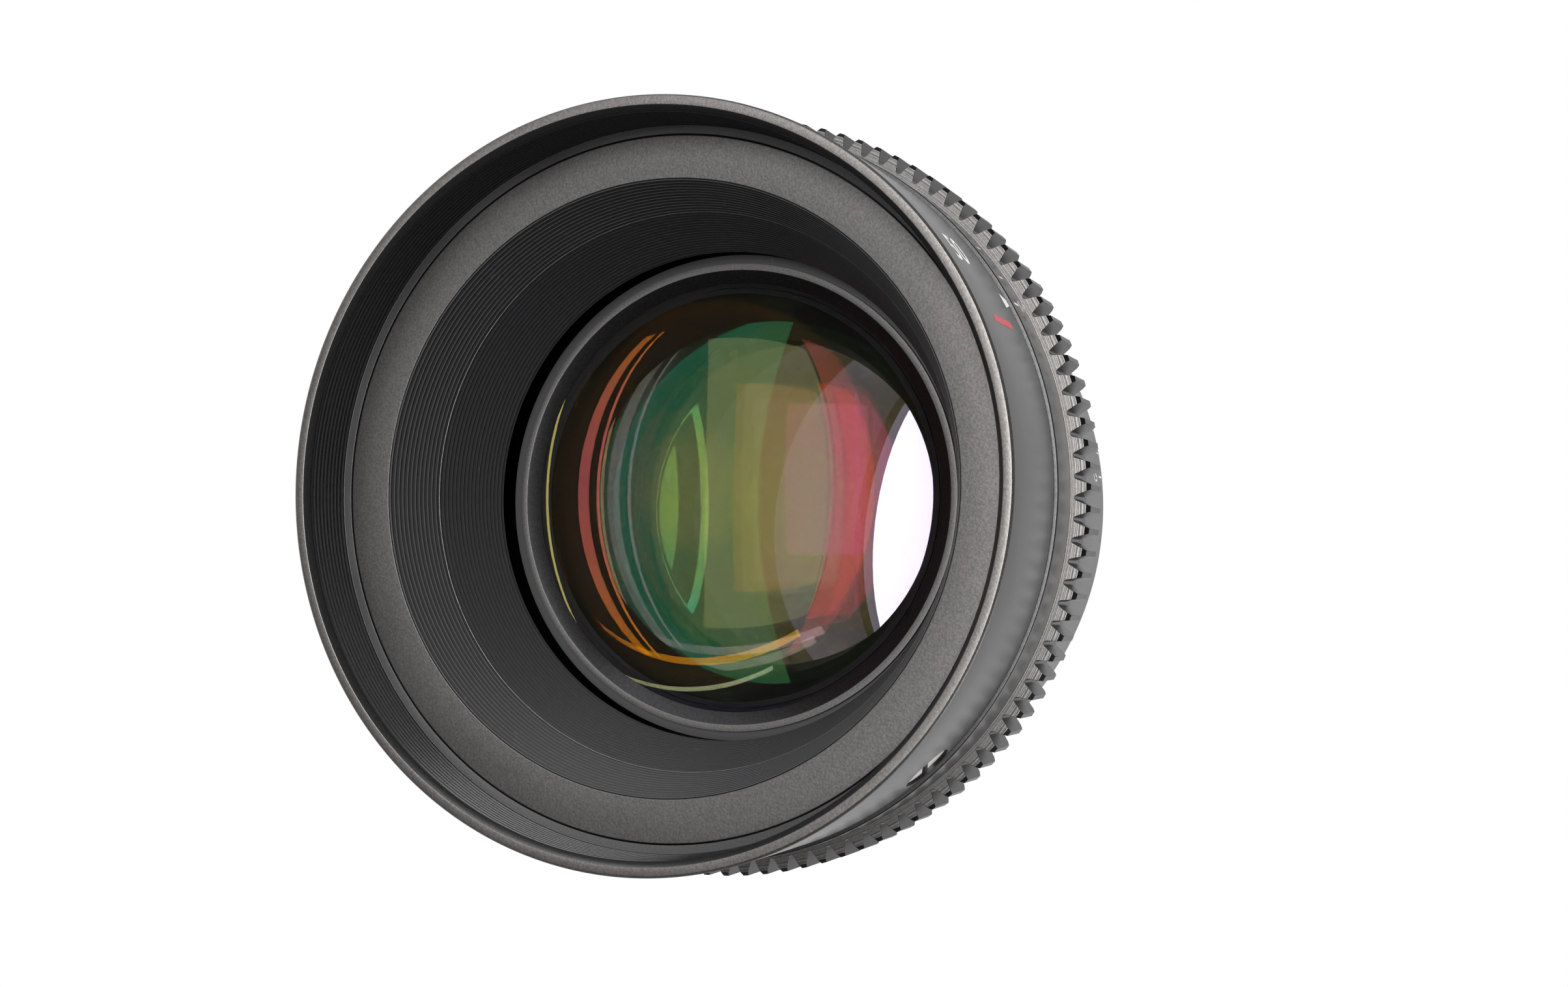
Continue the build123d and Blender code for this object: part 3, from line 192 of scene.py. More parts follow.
def anodised(name, tone, dark_tone, roughness, grain_mm, grain_depth):
    """Dyed oxide over aluminium: a dark metal, with blast grain in its colour, gloss and height."""
    material, tree, output, place = new_material(name)
    grain = add(tree, "ShaderNodeTexNoise", None,
                {"Vector": place, "Scale": 1 / (grain_mm * MM), "Detail": 2.0, "Roughness": 0.6})
    cloud = add(tree, "ShaderNodeTexNoise", None,
                {"Vector": place, "Scale": 1 / (CLOUD_SIZE * MM), "Detail": 3.0, "Roughness": 0.55})
    share = add(tree, "ShaderNodeMapRange", None,
                {"Value": grain.outputs["Fac"], "From Min": 0.32, "From Max": 0.68})
    tint = add(tree, "ShaderNodeMix", {"data_type": "RGBA"},
               {"Factor": share.outputs[0], "A": colour(dark_tone), "B": colour(tone)})
    gloss = add(tree, "ShaderNodeMapRange", None,
                {"Value": cloud.outputs["Fac"], "From Min": 0.3, "From Max": 0.7,
                 "To Min": roughness - GLOSS_SPREAD, "To Max": roughness + GLOSS_SPREAD})
    bump = add(tree, "ShaderNodeBump", None,
               {"Height": grain.outputs["Fac"], "Strength": grain_depth,
                "Distance": GRAIN_HEIGHT * MM})
    shader = add(tree, "ShaderNodeBsdfPrincipled", None,
                 {"Base Color": tint.outputs["Result"], "Metallic": 0.85, "Roughness": gloss.outputs[0],
                  "Normal": bump.outputs[0]})
    tree.links.new(shader.outputs[0], output.inputs["Surface"])
    return material


satin_anodised = anodised("satin_black_anodised_aluminium", "#403f40", "#363636", 0.30, 0.25, 0.08)
blasted_anodised = anodised("bead_blasted_grey_anodised_aluminium", "#4f4d4c", "#403f3e", 0.48, 0.26, 0.35)
# A lighter tone for the front face of the lip: a painted highlight.
lip_highlight_anodised = anodised("painted_highlight_rim_anodised_aluminium", "#63605e", "#52504e", 0.38, 0.26, 0.25)
ring_anodised = anodised("turned_black_anodised_aluminium", "#3c3b3c", "#313131", 0.32, 0.3, 0.10)
# Painted shade: a darker copy for the cut faces of the gears and the bevels of the glass ring.
shade_anodised = anodised("painted_shade_anodised_aluminium", "#262627", "#1c1c1d", 0.34, 0.3, 0.15)
# A near white tone for the front edge of the inner cone: a painted highlight.
edge_highlight_anodised = anodised("painted_highlight_anodised_edge", "#a3a19e", "#7c7a78", 0.36, 0.3, 0.1)
print("anodised finishes made")

# %% [markdown]
# ## Turned faces
#
# The front face of the gear still shows the tool's path: fine rings round the axis. They are drawn
# from the distance to the axis, because a ring is where that distance is the same. A real feed is
# about 0.05 mm per turn, drawn here at 0.12 to 0.2 mm with some unevenness so that it shows. The same
# recipe, in other tones, makes the screws, the steel mount and the brass rollers.

# %% Metal with the marks of the lathe
FEED_HEIGHT = 0.03


def lathe_marked(name, tone, dark_tone, roughness, pitch_mm, depth):
    """Metal with rings round the optical axis."""
    material, tree, output, place = new_material(name)
    apart = add(tree, "ShaderNodeSeparateXYZ", None, {"Vector": place})
    flat = add(tree, "ShaderNodeCombineXYZ", None, {"X": apart.outputs["X"], "Y": apart.outputs["Z"]})
    radius = add(tree, "ShaderNodeVectorMath", {"operation": "LENGTH"}, {0: flat.outputs[0]})
    across = add(tree, "ShaderNodeMath", {"operation": "ADD"},
                 {0: radius.outputs["Value"], 1: apart.outputs["Y"]})
    rings = add(tree, "ShaderNodeTexNoise", {"noise_dimensions": "1D"},
                {"W": across.outputs[0], "Scale": 1 / (pitch_mm * MM), "Detail": 2.0})
    grain = add(tree, "ShaderNodeTexNoise", None, {"Vector": place, "Scale": 1 / (0.3 * MM), "Detail": 2.0})
    both = add(tree, "ShaderNodeMath", {"operation": "MULTIPLY_ADD"},
               {0: grain.outputs["Fac"], 1: 0.4, 2: rings.outputs["Fac"]})
    share = add(tree, "ShaderNodeMapRange", None,
                {"Value": both.outputs[0], "From Min": 0.4, "From Max": 1.0})
    tint = add(tree, "ShaderNodeMix", {"data_type": "RGBA"},
               {"Factor": share.outputs[0], "A": colour(dark_tone), "B": colour(tone)})
    bump = add(tree, "ShaderNodeBump", None,
               {"Height": rings.outputs["Fac"], "Strength": depth, "Distance": FEED_HEIGHT * MM})
    shader = add(tree, "ShaderNodeBsdfPrincipled", None,
                 {"Base Color": tint.outputs["Result"], "Metallic": 0.85, "Roughness": roughness,
                  "Normal": bump.outputs[0]})
    tree.links.new(shader.outputs[0], output.inputs["Surface"])
    return material


turned_gear = lathe_marked("hard_anodised_turned_aluminium", "#686664", "#3a3938", 0.36, 0.2, 0.6)
bare_turned = lathe_marked("bare_turned_aluminium", "#c9c9c6", "#a8a8a4", 0.3, 0.2, 0.4)
plated_screw = lathe_marked("nickel_plated_steel", "#dddcd8", "#b9b7b2", 0.42, 0.15, 0.3)
ground_steel = lathe_marked("ground_stainless_steel", "#cfcdc8", "#a9a7a3", 0.24, 0.12, 0.3)
turned_brass = lathe_marked("turned_brass", "#d9b45c", "#b08a3c", 0.28, 0.2, 0.3)
print("turned finishes made")

# %% [markdown]
# ## Matt black against stray light
#
# Light that grazes the inside of the mouth must die there. The cones are cut into ribs and sprayed
# with a dead matt black lacquer. The lacquer is not a metal, so it has no coloured sheen, only a
# faint grey glow at grazing angles, and a few specks of dust. The crests of the ribs are painted
# greyer than the grooves as a highlight, more so in the outer cone than in the inner one.

# %% Matt black lacquer


def lacquer(name, tone, roughness):
    """Sprayed matt black, with a fine orange peel and a little dust."""
    material, tree, output, place = new_material(name)
    peel = add(tree, "ShaderNodeTexNoise", None, {"Vector": place, "Scale": 1 / (0.35 * MM), "Detail": 3.0})
    dust = add(tree, "ShaderNodeTexNoise", None, {"Vector": place, "Scale": 1 / (1.6 * MM), "Detail": 6.0})
    specks = add(tree, "ShaderNodeMapRange", None,
                 {"Value": dust.outputs["Fac"], "From Min": 0.70, "From Max": 0.78, "To Max": 0.35})
    tint = add(tree, "ShaderNodeMix", {"data_type": "RGBA"},
               {"Factor": specks.outputs[0], "A": colour(tone), "B": colour("#4a4a4a")})
    bump = add(tree, "ShaderNodeBump", None,
               {"Height": peel.outputs["Fac"], "Strength": 0.3, "Distance": 0.02 * MM})
    shader = add(tree, "ShaderNodeBsdfPrincipled", None,
                 {"Base Color": tint.outputs["Result"], "Metallic": 0.0, "Roughness": roughness,
                  "Normal": bump.outputs[0]})
    tree.links.new(shader.outputs[0], output.inputs["Surface"])
    return material


baffle_black = lacquer("matt_black_baffle_lacquer", "#0f0f10", 0.5)
# Painted highlights: greyer tones for the crests of the ribs, lighter in the outer cone.
outer_crest_highlight = lacquer("painted_highlight_crest_lacquer", "#4c4c4d", 0.4)
inner_crest_highlight = lacquer("dim_painted_highlight_crest_lacquer", "#363637", 0.4)
inner_black = lacquer("dull_black_iris_lacquer", "#161617", 0.6)
print("lacquers made")

# %% [markdown]
# ## Coated glass
#
# Optical glass is clear; its colours come from the coatings, thin layers that cancel the reflection
# of some wavelengths and leave the rest. One surface glows green, the next magenta or amber. The
# shader's own thin film does that: its thickness in nanometres sets the colour that it leaves, and
# its index how strong it is. The index here is that of magnesium fluoride, the usual single layer. A
# thickness of about a quarter of a wavelength inside the layer leaves almost nothing, which is the
# clear one. Each glass has one coating in front and another behind, so each is two materials.

# %% Glass with a thin film
GREEN = 398.0
MAGENTA = 498.0
AMBER = 235.0
CLEAR = 94.0
LAYER_INDEX = 1.38


def coated_glass(name, index, film_nm):
    """Clear glass with one interference layer."""
    material, tree, output, _ = new_material(name)
    shader = add(tree, "ShaderNodeBsdfPrincipled", None,
                 {"Base Color": colour("#ffffff"), "Roughness": 0.0, "IOR": index,
                  "Transmission Weight": 1.0, "Thin Film Thickness": film_nm,
                  "Thin Film IOR": LAYER_INDEX})
    tree.links.new(shader.outputs[0], output.inputs["Surface"])
    return material


def two_faced(name, index, front_nm, rear_nm):
    """The same glass twice: with the coating of its front face and of its rear face."""
    front = coated_glass(name + "_front", index, front_nm)
    rear = coated_glass(name + "_rear", index, rear_nm)
    return front, rear


coatings = {
    "front_element": two_faced("lanthanum_crown_glass", 1.82, CLEAR, GREEN),
    "second_element": two_faced("dense_lanthanum_glass", 1.89, GREEN, MAGENTA),
    "front_doublet_crown": two_faced("light_crown_glass", 1.53, AMBER, CLEAR),
    "front_doublet_flint": two_faced("dense_flint_glass", 1.66, CLEAR, GREEN),
    "rear_doublet_flint": two_faced("extra_dense_flint_glass", 1.76, GREEN, CLEAR),
    "rear_doublet_crown": two_faced("fluor_crown_glass", 1.46, CLEAR, GREEN),
    "fifth_element": two_faced("heavy_lanthanum_glass", 1.81, GREEN, CLEAR),
    "rear_element": two_faced("lanthanum_flint_glass", 1.79, AMBER, CLEAR),
}
print("coated glasses:", len(coatings))

# %% [markdown]
# ## Paint in engraved figures
#
# The figures are cut into the anodised skin and filled with enamel. The enamel is wiped level, so a
# figure is a flat, slightly rough white with nothing standing up. The mesh of each figure lies a
# hundredth of a millimetre above the metal, just enough to be seen.

# %% Enamels


def enamel(name, tone):
    """Filled enamel, wiped level with the metal."""
    material, tree, output, place = new_material(name)
    wipe = add(tree, "ShaderNodeTexNoise", None, {"Vector": place, "Scale": 1 / (0.5 * MM), "Detail": 2.0})
    gloss = add(tree, "ShaderNodeMapRange", None,
                {"Value": wipe.outputs["Fac"], "To Min": 0.35, "To Max": 0.6})
    shader = add(tree, "ShaderNodeBsdfPrincipled", None,
                 {"Base Color": colour(tone), "Roughness": gloss.outputs[0]})
    tree.links.new(shader.outputs[0], output.inputs["Surface"])
    return material


white_enamel = enamel("white_filling_enamel", "#e9e8e2")
red_enamel = enamel("red_filling_enamel", "#c23038")

# %% [markdown]
# ## The turning tool
#
# Every turned piece is made by one function. It takes the half section as corners, eases each corner
# as a careful turner would, because no real edge is perfectly sharp and the eased edge is what
# catches the light, and spins the section round the axis in 360 steps. An edge stays sharp in the
# shading where its two faces meet at more than 32 degrees.

# %% Easing a section and spinning it
SHARP = radians(32)


def eased(corners, ease):
    """Rounds each corner of a closed section by up to the ease, in millimetres."""
    rounded = []
    count = len(corners)
    for index, corner in enumerate(corners):
        here = Vector(corner)
        before = Vector(corners[index - 1])
        after = Vector(corners[(index + 1) % count])
        back = min(ease, 0.4 * (before - here).length)
        ahead = min(ease, 0.4 * (after - here).length)
        start = here + (before - here).normalized() * back
        end = here + (after - here).normalized() * ahead
        if corner[0] == 0:
            rounded.append(here)
            continue
        rounded.append(start)
        rounded.append(start * 0.25 + here * 0.5 + end * 0.25)
        rounded.append(end)
    return rounded


def finish_piece(name, mesh_builder, material, body, instead_of):
    """Turns a bmesh into an object that rides on its body and stands for its CAD nodes."""
    mesh = bpy.data.meshes.new(name)
    bmesh.ops.recalc_face_normals(mesh_builder, faces=mesh_builder.faces)
    mesh_builder.to_mesh(mesh)
    mesh_builder.free()
    for face in mesh.polygons:
        face.use_smooth = True
    mesh.set_sharp_from_angle(angle=SHARP)
    piece = bpy.data.objects.new(name, mesh)
    bpy.context.scene.collection.objects.link(piece)
    mesh.materials.append(material)
    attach(piece, body)
    if instead_of:
        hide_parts(*instead_of)
    return piece


def spin(section, steps):
    """A bmesh of a closed section turned round the optical axis; on-axis points become one vertex."""
    work = bmesh.new()
    rings = []
    for radius, depth in section:
        y = (FRONT + depth) * MM
        if radius == 0:
            rings.append([work.verts.new((0, y, 0))])
            continue
        ring = []
        for step in range(steps):
            turn = 2 * pi * step / steps
            ring.append(work.verts.new((radius * MM * cos(turn), y, radius * MM * sin(turn))))
        rings.append(ring)
    for first, second in zip(rings, rings[1:] + rings[:1]):
        if len(first) == 1 and len(second) == 1:
            continue
        for step in range(steps):
            after = (step + 1) % steps
            if len(first) == 1:
                work.faces.new((first[0], second[step], second[after]))
            elif len(second) == 1:
                work.faces.new((first[step], second[0], first[after]))
            else:
                work.faces.new((first[step], second[step], second[after], first[after]))
    return work


def turned_piece(name, section, material, body, instead_of, ease=0.06, steps=360):
    """A turned piece of the lens from its half section."""
    piece = finish_piece(name, spin(eased(section, ease), steps), material, body, instead_of)
    print(name, "has", len(piece.data.polygons), "faces")
    return piece


# %% [markdown]
# ## The front barrel
#
# The shell that meets the eye first: a bevelled lip, a lead-in and the filter thread inside it, a
# ledge, and the pocket that holds the blasted ring. Its three screw recesses are drilled into the
# turned shell with a Boolean, because they are drilled on the real one too.

# %% Front barrel
LIP_BEVEL = 0.26
EDGE_BREAK = 0.12
THREAD_CREST = 41.85
THREAD_GROOVE = 0.4
THREAD_PITCH = 0.75
THREAD_END = 8.0
THREAD_TURNS = 9
THREAD_RUNOUT = 0.2
THREAD_PROFILE = ((0, 0.08), (THREAD_GROOVE, 0.34), (THREAD_GROOVE, 0.41), (0, 0.67))
LEAD_IN_WIDTH = 0.6
LEAD_IN_DEPTH = 0.7
POCKET_RADIUS = 40.85
TRIM_FRONT, TRIM_REAR = depths_of("front_trim_ring")
COLLAR_PLAY = 0.03
SOCKET_RADIUS = radius_of("front_collar") + COLLAR_PLAY
SOCKET_DEPTH = depths_of("front_collar")[0]

thread = []
thread_start = THREAD_END - THREAD_PITCH * (THREAD_TURNS + THREAD_RUNOUT)
for turn in range(THREAD_TURNS):
    start = thread_start + THREAD_PITCH * turn
    for cut, along in THREAD_PROFILE:
        thread.append((THREAD_CREST + cut, start + along))

barrel_section = [
    (THREAD_CREST + LEAD_IN_WIDTH, 0),
    (THREAD_CREST, LEAD_IN_DEPTH),
    *thread,
    (THREAD_CREST, THREAD_END),
    (POCKET_RADIUS, THREAD_END),
    (POCKET_RADIUS, TRIM_REAR),
    (radius_of("front_light_baffle"), TRIM_REAR),
    (radius_of("front_light_baffle"), SOCKET_DEPTH),
    (SOCKET_RADIUS, SOCKET_DEPTH),
    (SOCKET_RADIUS, BARREL_REAR),
    (BARREL_RADIUS - EDGE_BREAK, BARREL_REAR),
    (BARREL_RADIUS, BARREL_REAR - EDGE_BREAK),
    (BARREL_RADIUS, LIP_BEVEL),
    (BARREL_RADIUS - LIP_BEVEL, 0),
]
front_shell = turned_piece("front_shell", barrel_section, satin_anodised, "housing",
                           ["front_barrel"])


def drill(piece, radius, outer, inner, angle, depth):
    """Cuts a round, flat-bottomed recess into a turned piece, square to its wall."""
    tool_mesh = bpy.data.meshes.new("drill")
    work = bmesh.new()
    bmesh.ops.create_cone(work, cap_ends=True, segments=96, radius1=radius * MM, radius2=radius * MM,
                          depth=(outer - inner) * MM)
    work.to_mesh(tool_mesh)
    work.free()
    tool = bpy.data.objects.new("drill", tool_mesh)
    bpy.context.scene.collection.objects.link(tool)
    outward = Vector((cos(radians(angle)), 0, sin(radians(angle))))
    tool.location = outward * (outer + inner) / 2 * MM + Vector((0, (FRONT + depth) * MM, 0))
    tool.rotation_euler = (outward.to_track_quat("Z", "Y")).to_euler()
    cut = piece.modifiers.new("drill", "BOOLEAN")
    cut.operation = "DIFFERENCE"
    cut.solver = "EXACT"
    cut.object = tool
    bpy.context.view_layer.update()
    result = bpy.data.meshes.new_from_object(piece.evaluated_get(bpy.context.evaluated_depsgraph_get()))
    piece.modifiers.remove(cut)
    piece.data = result
    piece.data.set_sharp_from_angle(angle=SHARP)
    bpy.data.objects.remove(tool)


SCREW_ANGLES = (-47, 73, 193)
SCREW_DEPTH = 15.2
RECESS_RADIUS = 3.1
SCREW_TOP = 43.23
SCREW_HEAD_HEIGHT = 0.9
for angle in SCREW_ANGLES:
    drill(front_shell, RECESS_RADIUS, BARREL_RADIUS + 1, SCREW_TOP - SCREW_HEAD_HEIGHT, angle, SCREW_DEPTH)
print("three recesses drilled:", len(front_shell.data.polygons), "faces")

# %% [markdown]
# ## A second finish on the same piece
#
# The rim and the crests of the ribs get painted highlights, and the cut flanks of a gear painted shade.
# Each is a set of faces that lie in one place or lean one way. So one function asks a rule about each
# face and gives the faces that it picks another material of the same mesh. The rule gets the radius
# and the depth in millimetres, and two leans: inward is 1 for a face that looks straight at the axis,
# and ahead is 1 for one that looks straight to the front.

# %% Picking faces for another finish


def second_finish(piece, material, chosen):
    """Gives another finish to the faces that a rule of radius, depth and leans picks."""
    slot_number = len(piece.data.materials)
    piece.data.materials.append(material)
    for face in piece.data.polygons:
        centre = face.center
        radius = sqrt(centre.x**2 + centre.z**2)
        inward = -(face.normal.x * centre.x + face.normal.z * centre.z) / radius
        if chosen(radius / MM, centre.y / MM - FRONT, inward, -face.normal.y):
            face.material_index = slot_number


RIM_DEPTH = 0.3
RIM_AHEAD = 0.5
RIM_INWARD = 0.4
# Painted highlight: the faces of the lip that look to the front get the lighter tone.
second_finish(front_shell, lip_highlight_anodised, lambda radius, depth, inward, ahead: (
    depth < RIM_DEPTH and ahead > RIM_AHEAD and inward < RIM_INWARD))
print("the rim has its painted highlight")

# %% [markdown]
# ## The blasted ring
#
# Behind the thread a flat ring, blasted a lighter grey, frames the mouth. It is a plain washer that
# drops into its pocket, with the front edges broken.

# %% Blasted ring
TRIM_WIDTH = 5.04
TRIM_BREAK = 0.07
TRIM_OUTER = radius_of("front_trim_ring")
TRIM_INNER = TRIM_OUTER - TRIM_WIDTH
trim_section = [
    (TRIM_INNER, TRIM_FRONT + TRIM_BREAK),
    (TRIM_INNER + TRIM_BREAK, TRIM_FRONT),
    (TRIM_OUTER - TRIM_BREAK, TRIM_FRONT),
    (TRIM_OUTER, TRIM_FRONT + TRIM_BREAK),
    (TRIM_OUTER, TRIM_REAR),
    (TRIM_INNER, TRIM_REAR),
]
turned_piece("blasted_trim_ring", trim_section, blasted_anodised, "housing",
             ["front_trim_ring"])

# %% [markdown]
# ## The ribbed baffles
#
# Inside the ring two cones run down to the glass. Their ribs are saw-toothed: a narrow crest, a steep
# drop that looks to the rear and a longer slope that comes back up. Light from the front is caught in
# each groove. The crests look almost straight at the axis, which is how they are picked for their
# painted highlight, a greyer tone. The front edge of the inner cone is painted almost white, also a
# painted highlight.

# %% Ribbed cones
RIB_PITCH = 0.66
RIB_DEPTH = 0.28
RIB_EASE = 0.035
CREST_SHARE = 0.3
DROP_END_SHARE = 0.5
CREST_LEAN = 0.8
OUTER_CONE = (35.53, 0.30)
INNER_CONE_SLOPE = 0.2715
CONE_WALL = 1.0
CONE_FLANGE = 1.2
CONE_PLAY = 0.07
# Where the front edge of the inner cone gets its painted highlight.
HIGHLIGHT_EDGE_DEPTH = 0.08
HIGHLIGHT_EDGE_WIDTH = 0.25


def ribs(radius, depth, slope, length):
    """The saw-toothed wall of a cone that narrows to the rear."""
    count = round(length / RIB_PITCH)
    pitch = length / count
    wall = []
    for rib in range(count):
        crest = radius - slope * pitch * rib
        start = depth + pitch * rib
        wall.append((crest, start))
        wall.append((crest - slope * pitch * CREST_SHARE, start + pitch * CREST_SHARE))
        wall.append((crest - slope * pitch * DROP_END_SHARE + RIB_DEPTH, start + pitch * DROP_END_SHARE))
    wall.append((radius - slope * length, depth + length))
    return wall


cone_front, cone_rear = depths_of("front_light_baffle")
throat_front, throat_rear = depths_of("inner_light_baffle")
cone_length = throat_front - cone_front
waist = OUTER_CONE[0] - OUTER_CONE[1] * cone_length
throat_length = throat_rear - throat_front
shell_radius = radius_of("inner_light_baffle")
baffle_neck = radius_of("front_light_baffle")

outer_cone = [
    *ribs(OUTER_CONE[0], cone_front, OUTER_CONE[1], cone_length),
    (shell_radius, throat_front),
    (shell_radius, SOCKET_DEPTH),
    (baffle_neck, SOCKET_DEPTH),
    (baffle_neck, TRIM_REAR),
    (OUTER_CONE[0] + CONE_PLAY, TRIM_REAR),
    (OUTER_CONE[0] + CONE_PLAY, cone_front),
]
outer_ribs = turned_piece("ribbed_outer_cone", outer_cone, baffle_black, "housing",
                          ["front_light_baffle"], ease=RIB_EASE)
# Painted highlight on the crests of the outer cone.
second_finish(outer_ribs, outer_crest_highlight, lambda radius, depth, inward, ahead: inward > CREST_LEAN)

inner_cone = [
    *ribs(waist, throat_front, INNER_CONE_SLOPE, throat_length),
    (waist - INNER_CONE_SLOPE * throat_length + CONE_WALL, throat_rear),
    (waist + CONE_WALL - INNER_CONE_SLOPE * CONE_FLANGE, throat_front + CONE_FLANGE),
    (shell_radius, throat_front + CONE_FLANGE),
    (shell_radius, throat_front),
]
inner_ribs = turned_piece("ribbed_inner_cone", inner_cone, baffle_black, "housing",
                          ["inner_light_baffle"], ease=RIB_EASE)
# Painted highlight on the crests of the inner cone, dimmer than the outer one.
second_finish(inner_ribs, inner_crest_highlight, lambda radius, depth, inward, ahead: inward > CREST_LEAN)
# Painted highlight: the front edge of the inner cone is almost white.
second_finish(inner_ribs, edge_highlight_anodised, lambda radius, depth, inward, ahead: (
    depth < throat_front + HIGHLIGHT_EDGE_DEPTH and radius < waist + HIGHLIGHT_EDGE_WIDTH))

# %% [markdown]
# ## The focus band
#
# The band that carries the distance scale stands a little proud of the shell. Behind it the same
# piece steps down to the seat of its gear.

# %% Focus band
SEAT_STEP = 1.5
SLEEVE_RADIUS = radius_of("cam_sleeve")
GEAR_SEAT = BAND_RADIUS - SEAT_STEP
band_section = [
    (SLEEVE_RADIUS, BAND_FRONT),
    (BAND_RADIUS - EDGE_BREAK, BAND_FRONT),
    (BAND_RADIUS, BAND_FRONT + EDGE_BREAK),
    (BAND_RADIUS, GEAR_FRONT - EDGE_BREAK),
    (BAND_RADIUS - EDGE_BREAK, GEAR_FRONT),
    (GEAR_SEAT, GEAR_FRONT),
    (GEAR_SEAT, GEAR_REAR),
    (SLEEVE_RADIUS, GEAR_REAR),
]
turned_piece("focus_band", band_section, ring_anodised, "focus_ring", ["focus_ring"])

# %% [markdown]
# ## Gears
#
# The gear is a follow focus gear: 0.8 mm module, so a tooth each 2.5 mm. The teeth have straight
# flanks of 20 degrees and rounded gullets, and their tips are cut back at both ends, so that a
# motor's gear slides in easily. The two end faces keep the lathe's marks, and what the gear cutter
# touched is painted a darker black as shade.
#
# The mesh is made tooth by tooth. A gullet is a row of columns of points at four depths: those of the
# two end faces and those of the two ends of the tips. A tip has four corners of its own, at the two
# inner depths.

# %% A gear, tooth by tooth
MODULE = 0.8
DEDENDUM = 1.25
GULLET_RISE = 0.28
PRESSURE_SLOPE = tan(radians(20))
TIP_CHAMFER = 0.46
GULLET_STEPS = 5
END_FACE_LEAN = 0.9
TOOTH_EASE = 0.05


def half_tooth(teeth):
    """One side of a tooth, from the middle of the gullet to the tip: radius, angle from the tooth."""
    pitch_radius = MODULE * teeth / 2
    tip = pitch_radius + MODULE
    root = pitch_radius - DEDENDUM * MODULE
    half_pitch = pi * MODULE / 4
    rise = GULLET_RISE * MODULE
    flank = (root + rise, half_pitch + (DEDENDUM * MODULE - rise) * PRESSURE_SLOPE)
    corner = (root, half_pitch + DEDENDUM * MODULE * PRESSURE_SLOPE)
    middle = (root, pi * root / teeth)
    side = []
    for step in range(GULLET_STEPS + 1):
        t = step / GULLET_STEPS
        radius = (1 - t) ** 2 * middle[0] + 2 * t * (1 - t) * corner[0] + t**2 * flank[0]
        arc = (1 - t) ** 2 * middle[1] + 2 * t * (1 - t) * corner[1] + t**2 * flank[1]
        side.append((radius, arc / radius))
    tip_half = half_pitch - MODULE * PRESSURE_SLOPE
    cut = tip - TIP_CHAMFER
    share = (cut - flank[0]) / (tip - flank[0])
    side.append((cut, (flank[1] + (tip_half - flank[1]) * share) / cut))
    side.append((tip, tip_half / tip))
    return side


def gear(name, teeth, seat, front, rear, material, body, nodes_replaced):
    """A gear ring between two depths, on a seat radius."""
    side = half_tooth(teeth)
    below = side[:-1]
    work = bmesh.new()

    def corner(radius, turn, depth):
        return work.verts.new((radius * MM * cos(turn), (FRONT + depth) * MM, radius * MM * sin(turn)))

    stations = (front, front + TIP_CHAMFER, rear - TIP_CHAMFER, rear)
    columns = []
    tips = []
    for tooth in range(teeth):
        middle = 2 * pi * tooth / teeth
        around = [(radius, middle - turn) for radius, turn in below]
        around += [(radius, middle + turn) for radius, turn in reversed(below)]
        around = around[:-1]
        columns.append([[corner(radius, turn, depth) for depth in stations] for radius, turn in around])
        radius, turn = side[-1]
        tips.append([[corner(radius, middle + way * turn, depth) for depth in stations[1:3]]
                     for way in (-1, 1)])
    seats = []
    for tooth in range(teeth):
        for part in range(3):
            turn = 2 * pi * (tooth + part / 3 - 0.5) / teeth
            seats.append([corner(seat, turn, front), corner(seat, turn, rear)])
    cut_left = len(below) - 1
    for tooth in range(teeth):
        wall = columns[tooth] + [columns[(tooth + 1) % teeth][0]]
        for first, second in zip(wall, wall[1:]):
            if first is wall[cut_left]:
                continue
            for level in range(3):
                work.faces.new((first[level], first[level + 1], second[level + 1], second[level]))
        left, right = wall[cut_left], wall[cut_left + 1]
        (left_front, left_rear), (right_front, right_rear) = tips[tooth]
        work.faces.new((left[0], left[1], left_front))
        work.faces.new((left[1], left[2], left_rear, left_front))
        work.faces.new((left[2], left[3], left_rear))
        work.faces.new((right[0], right_front, right[1]))
        work.faces.new((right[1], right_front, right_rear, right[2]))
        work.faces.new((right[2], right_rear, right[3]))
        work.faces.new((left_front, left_rear, right_rear, right_front))
        work.faces.new((left[0], left_front, right_front, right[0]))
        work.faces.new((left[3], right[3], right_rear, left_rear))
        ring = [seats[(3 * tooth + part) % len(seats)] for part in range(4)]
        for level, end in ((0, 0), (3, 1)):
            rim = [column[level] for column in wall]
            floor = [pair[end] for pair in ring]
            work.faces.new(rim + floor[::-1])
        for first, second in zip(ring, ring[1:]):
            work.faces.new((first[0], first[1], second[1], second[0]))
    piece = finish_piece(name, work, material, body, nodes_replaced)
    # Painted shade: every face but the two end faces gets the darker tone.
    second_finish(piece, shade_anodised, lambda radius, depth, inward, ahead: abs(ahead) < END_FACE_LEAN)
    edge = piece.modifiers.new("eased edges", "BEVEL")
    edge.width = TOOTH_EASE * MM
    edge.segments = 2
    edge.limit_method = "ANGLE"
    edge.angle_limit = SHARP
    print(name, "has", teeth, "teeth and", len(piece.data.polygons), "faces")
    return piece


focus_teeth = round(2 * (GEAR_TIP - MODULE) / MODULE)
gear("focus_gear_ring", focus_teeth, GEAR_SEAT, GEAR_FRONT, GEAR_REAR, turned_gear, "focus_ring",
     ["focus_gear"])

# %% [markdown]
# ## The iris ring
#
# Behind the focus gear a slimmer ring works the iris. It has its own gear, and its rear end runs back
# to the fixed rear shell. A stepped hole near that end takes the screw that drives the iris.

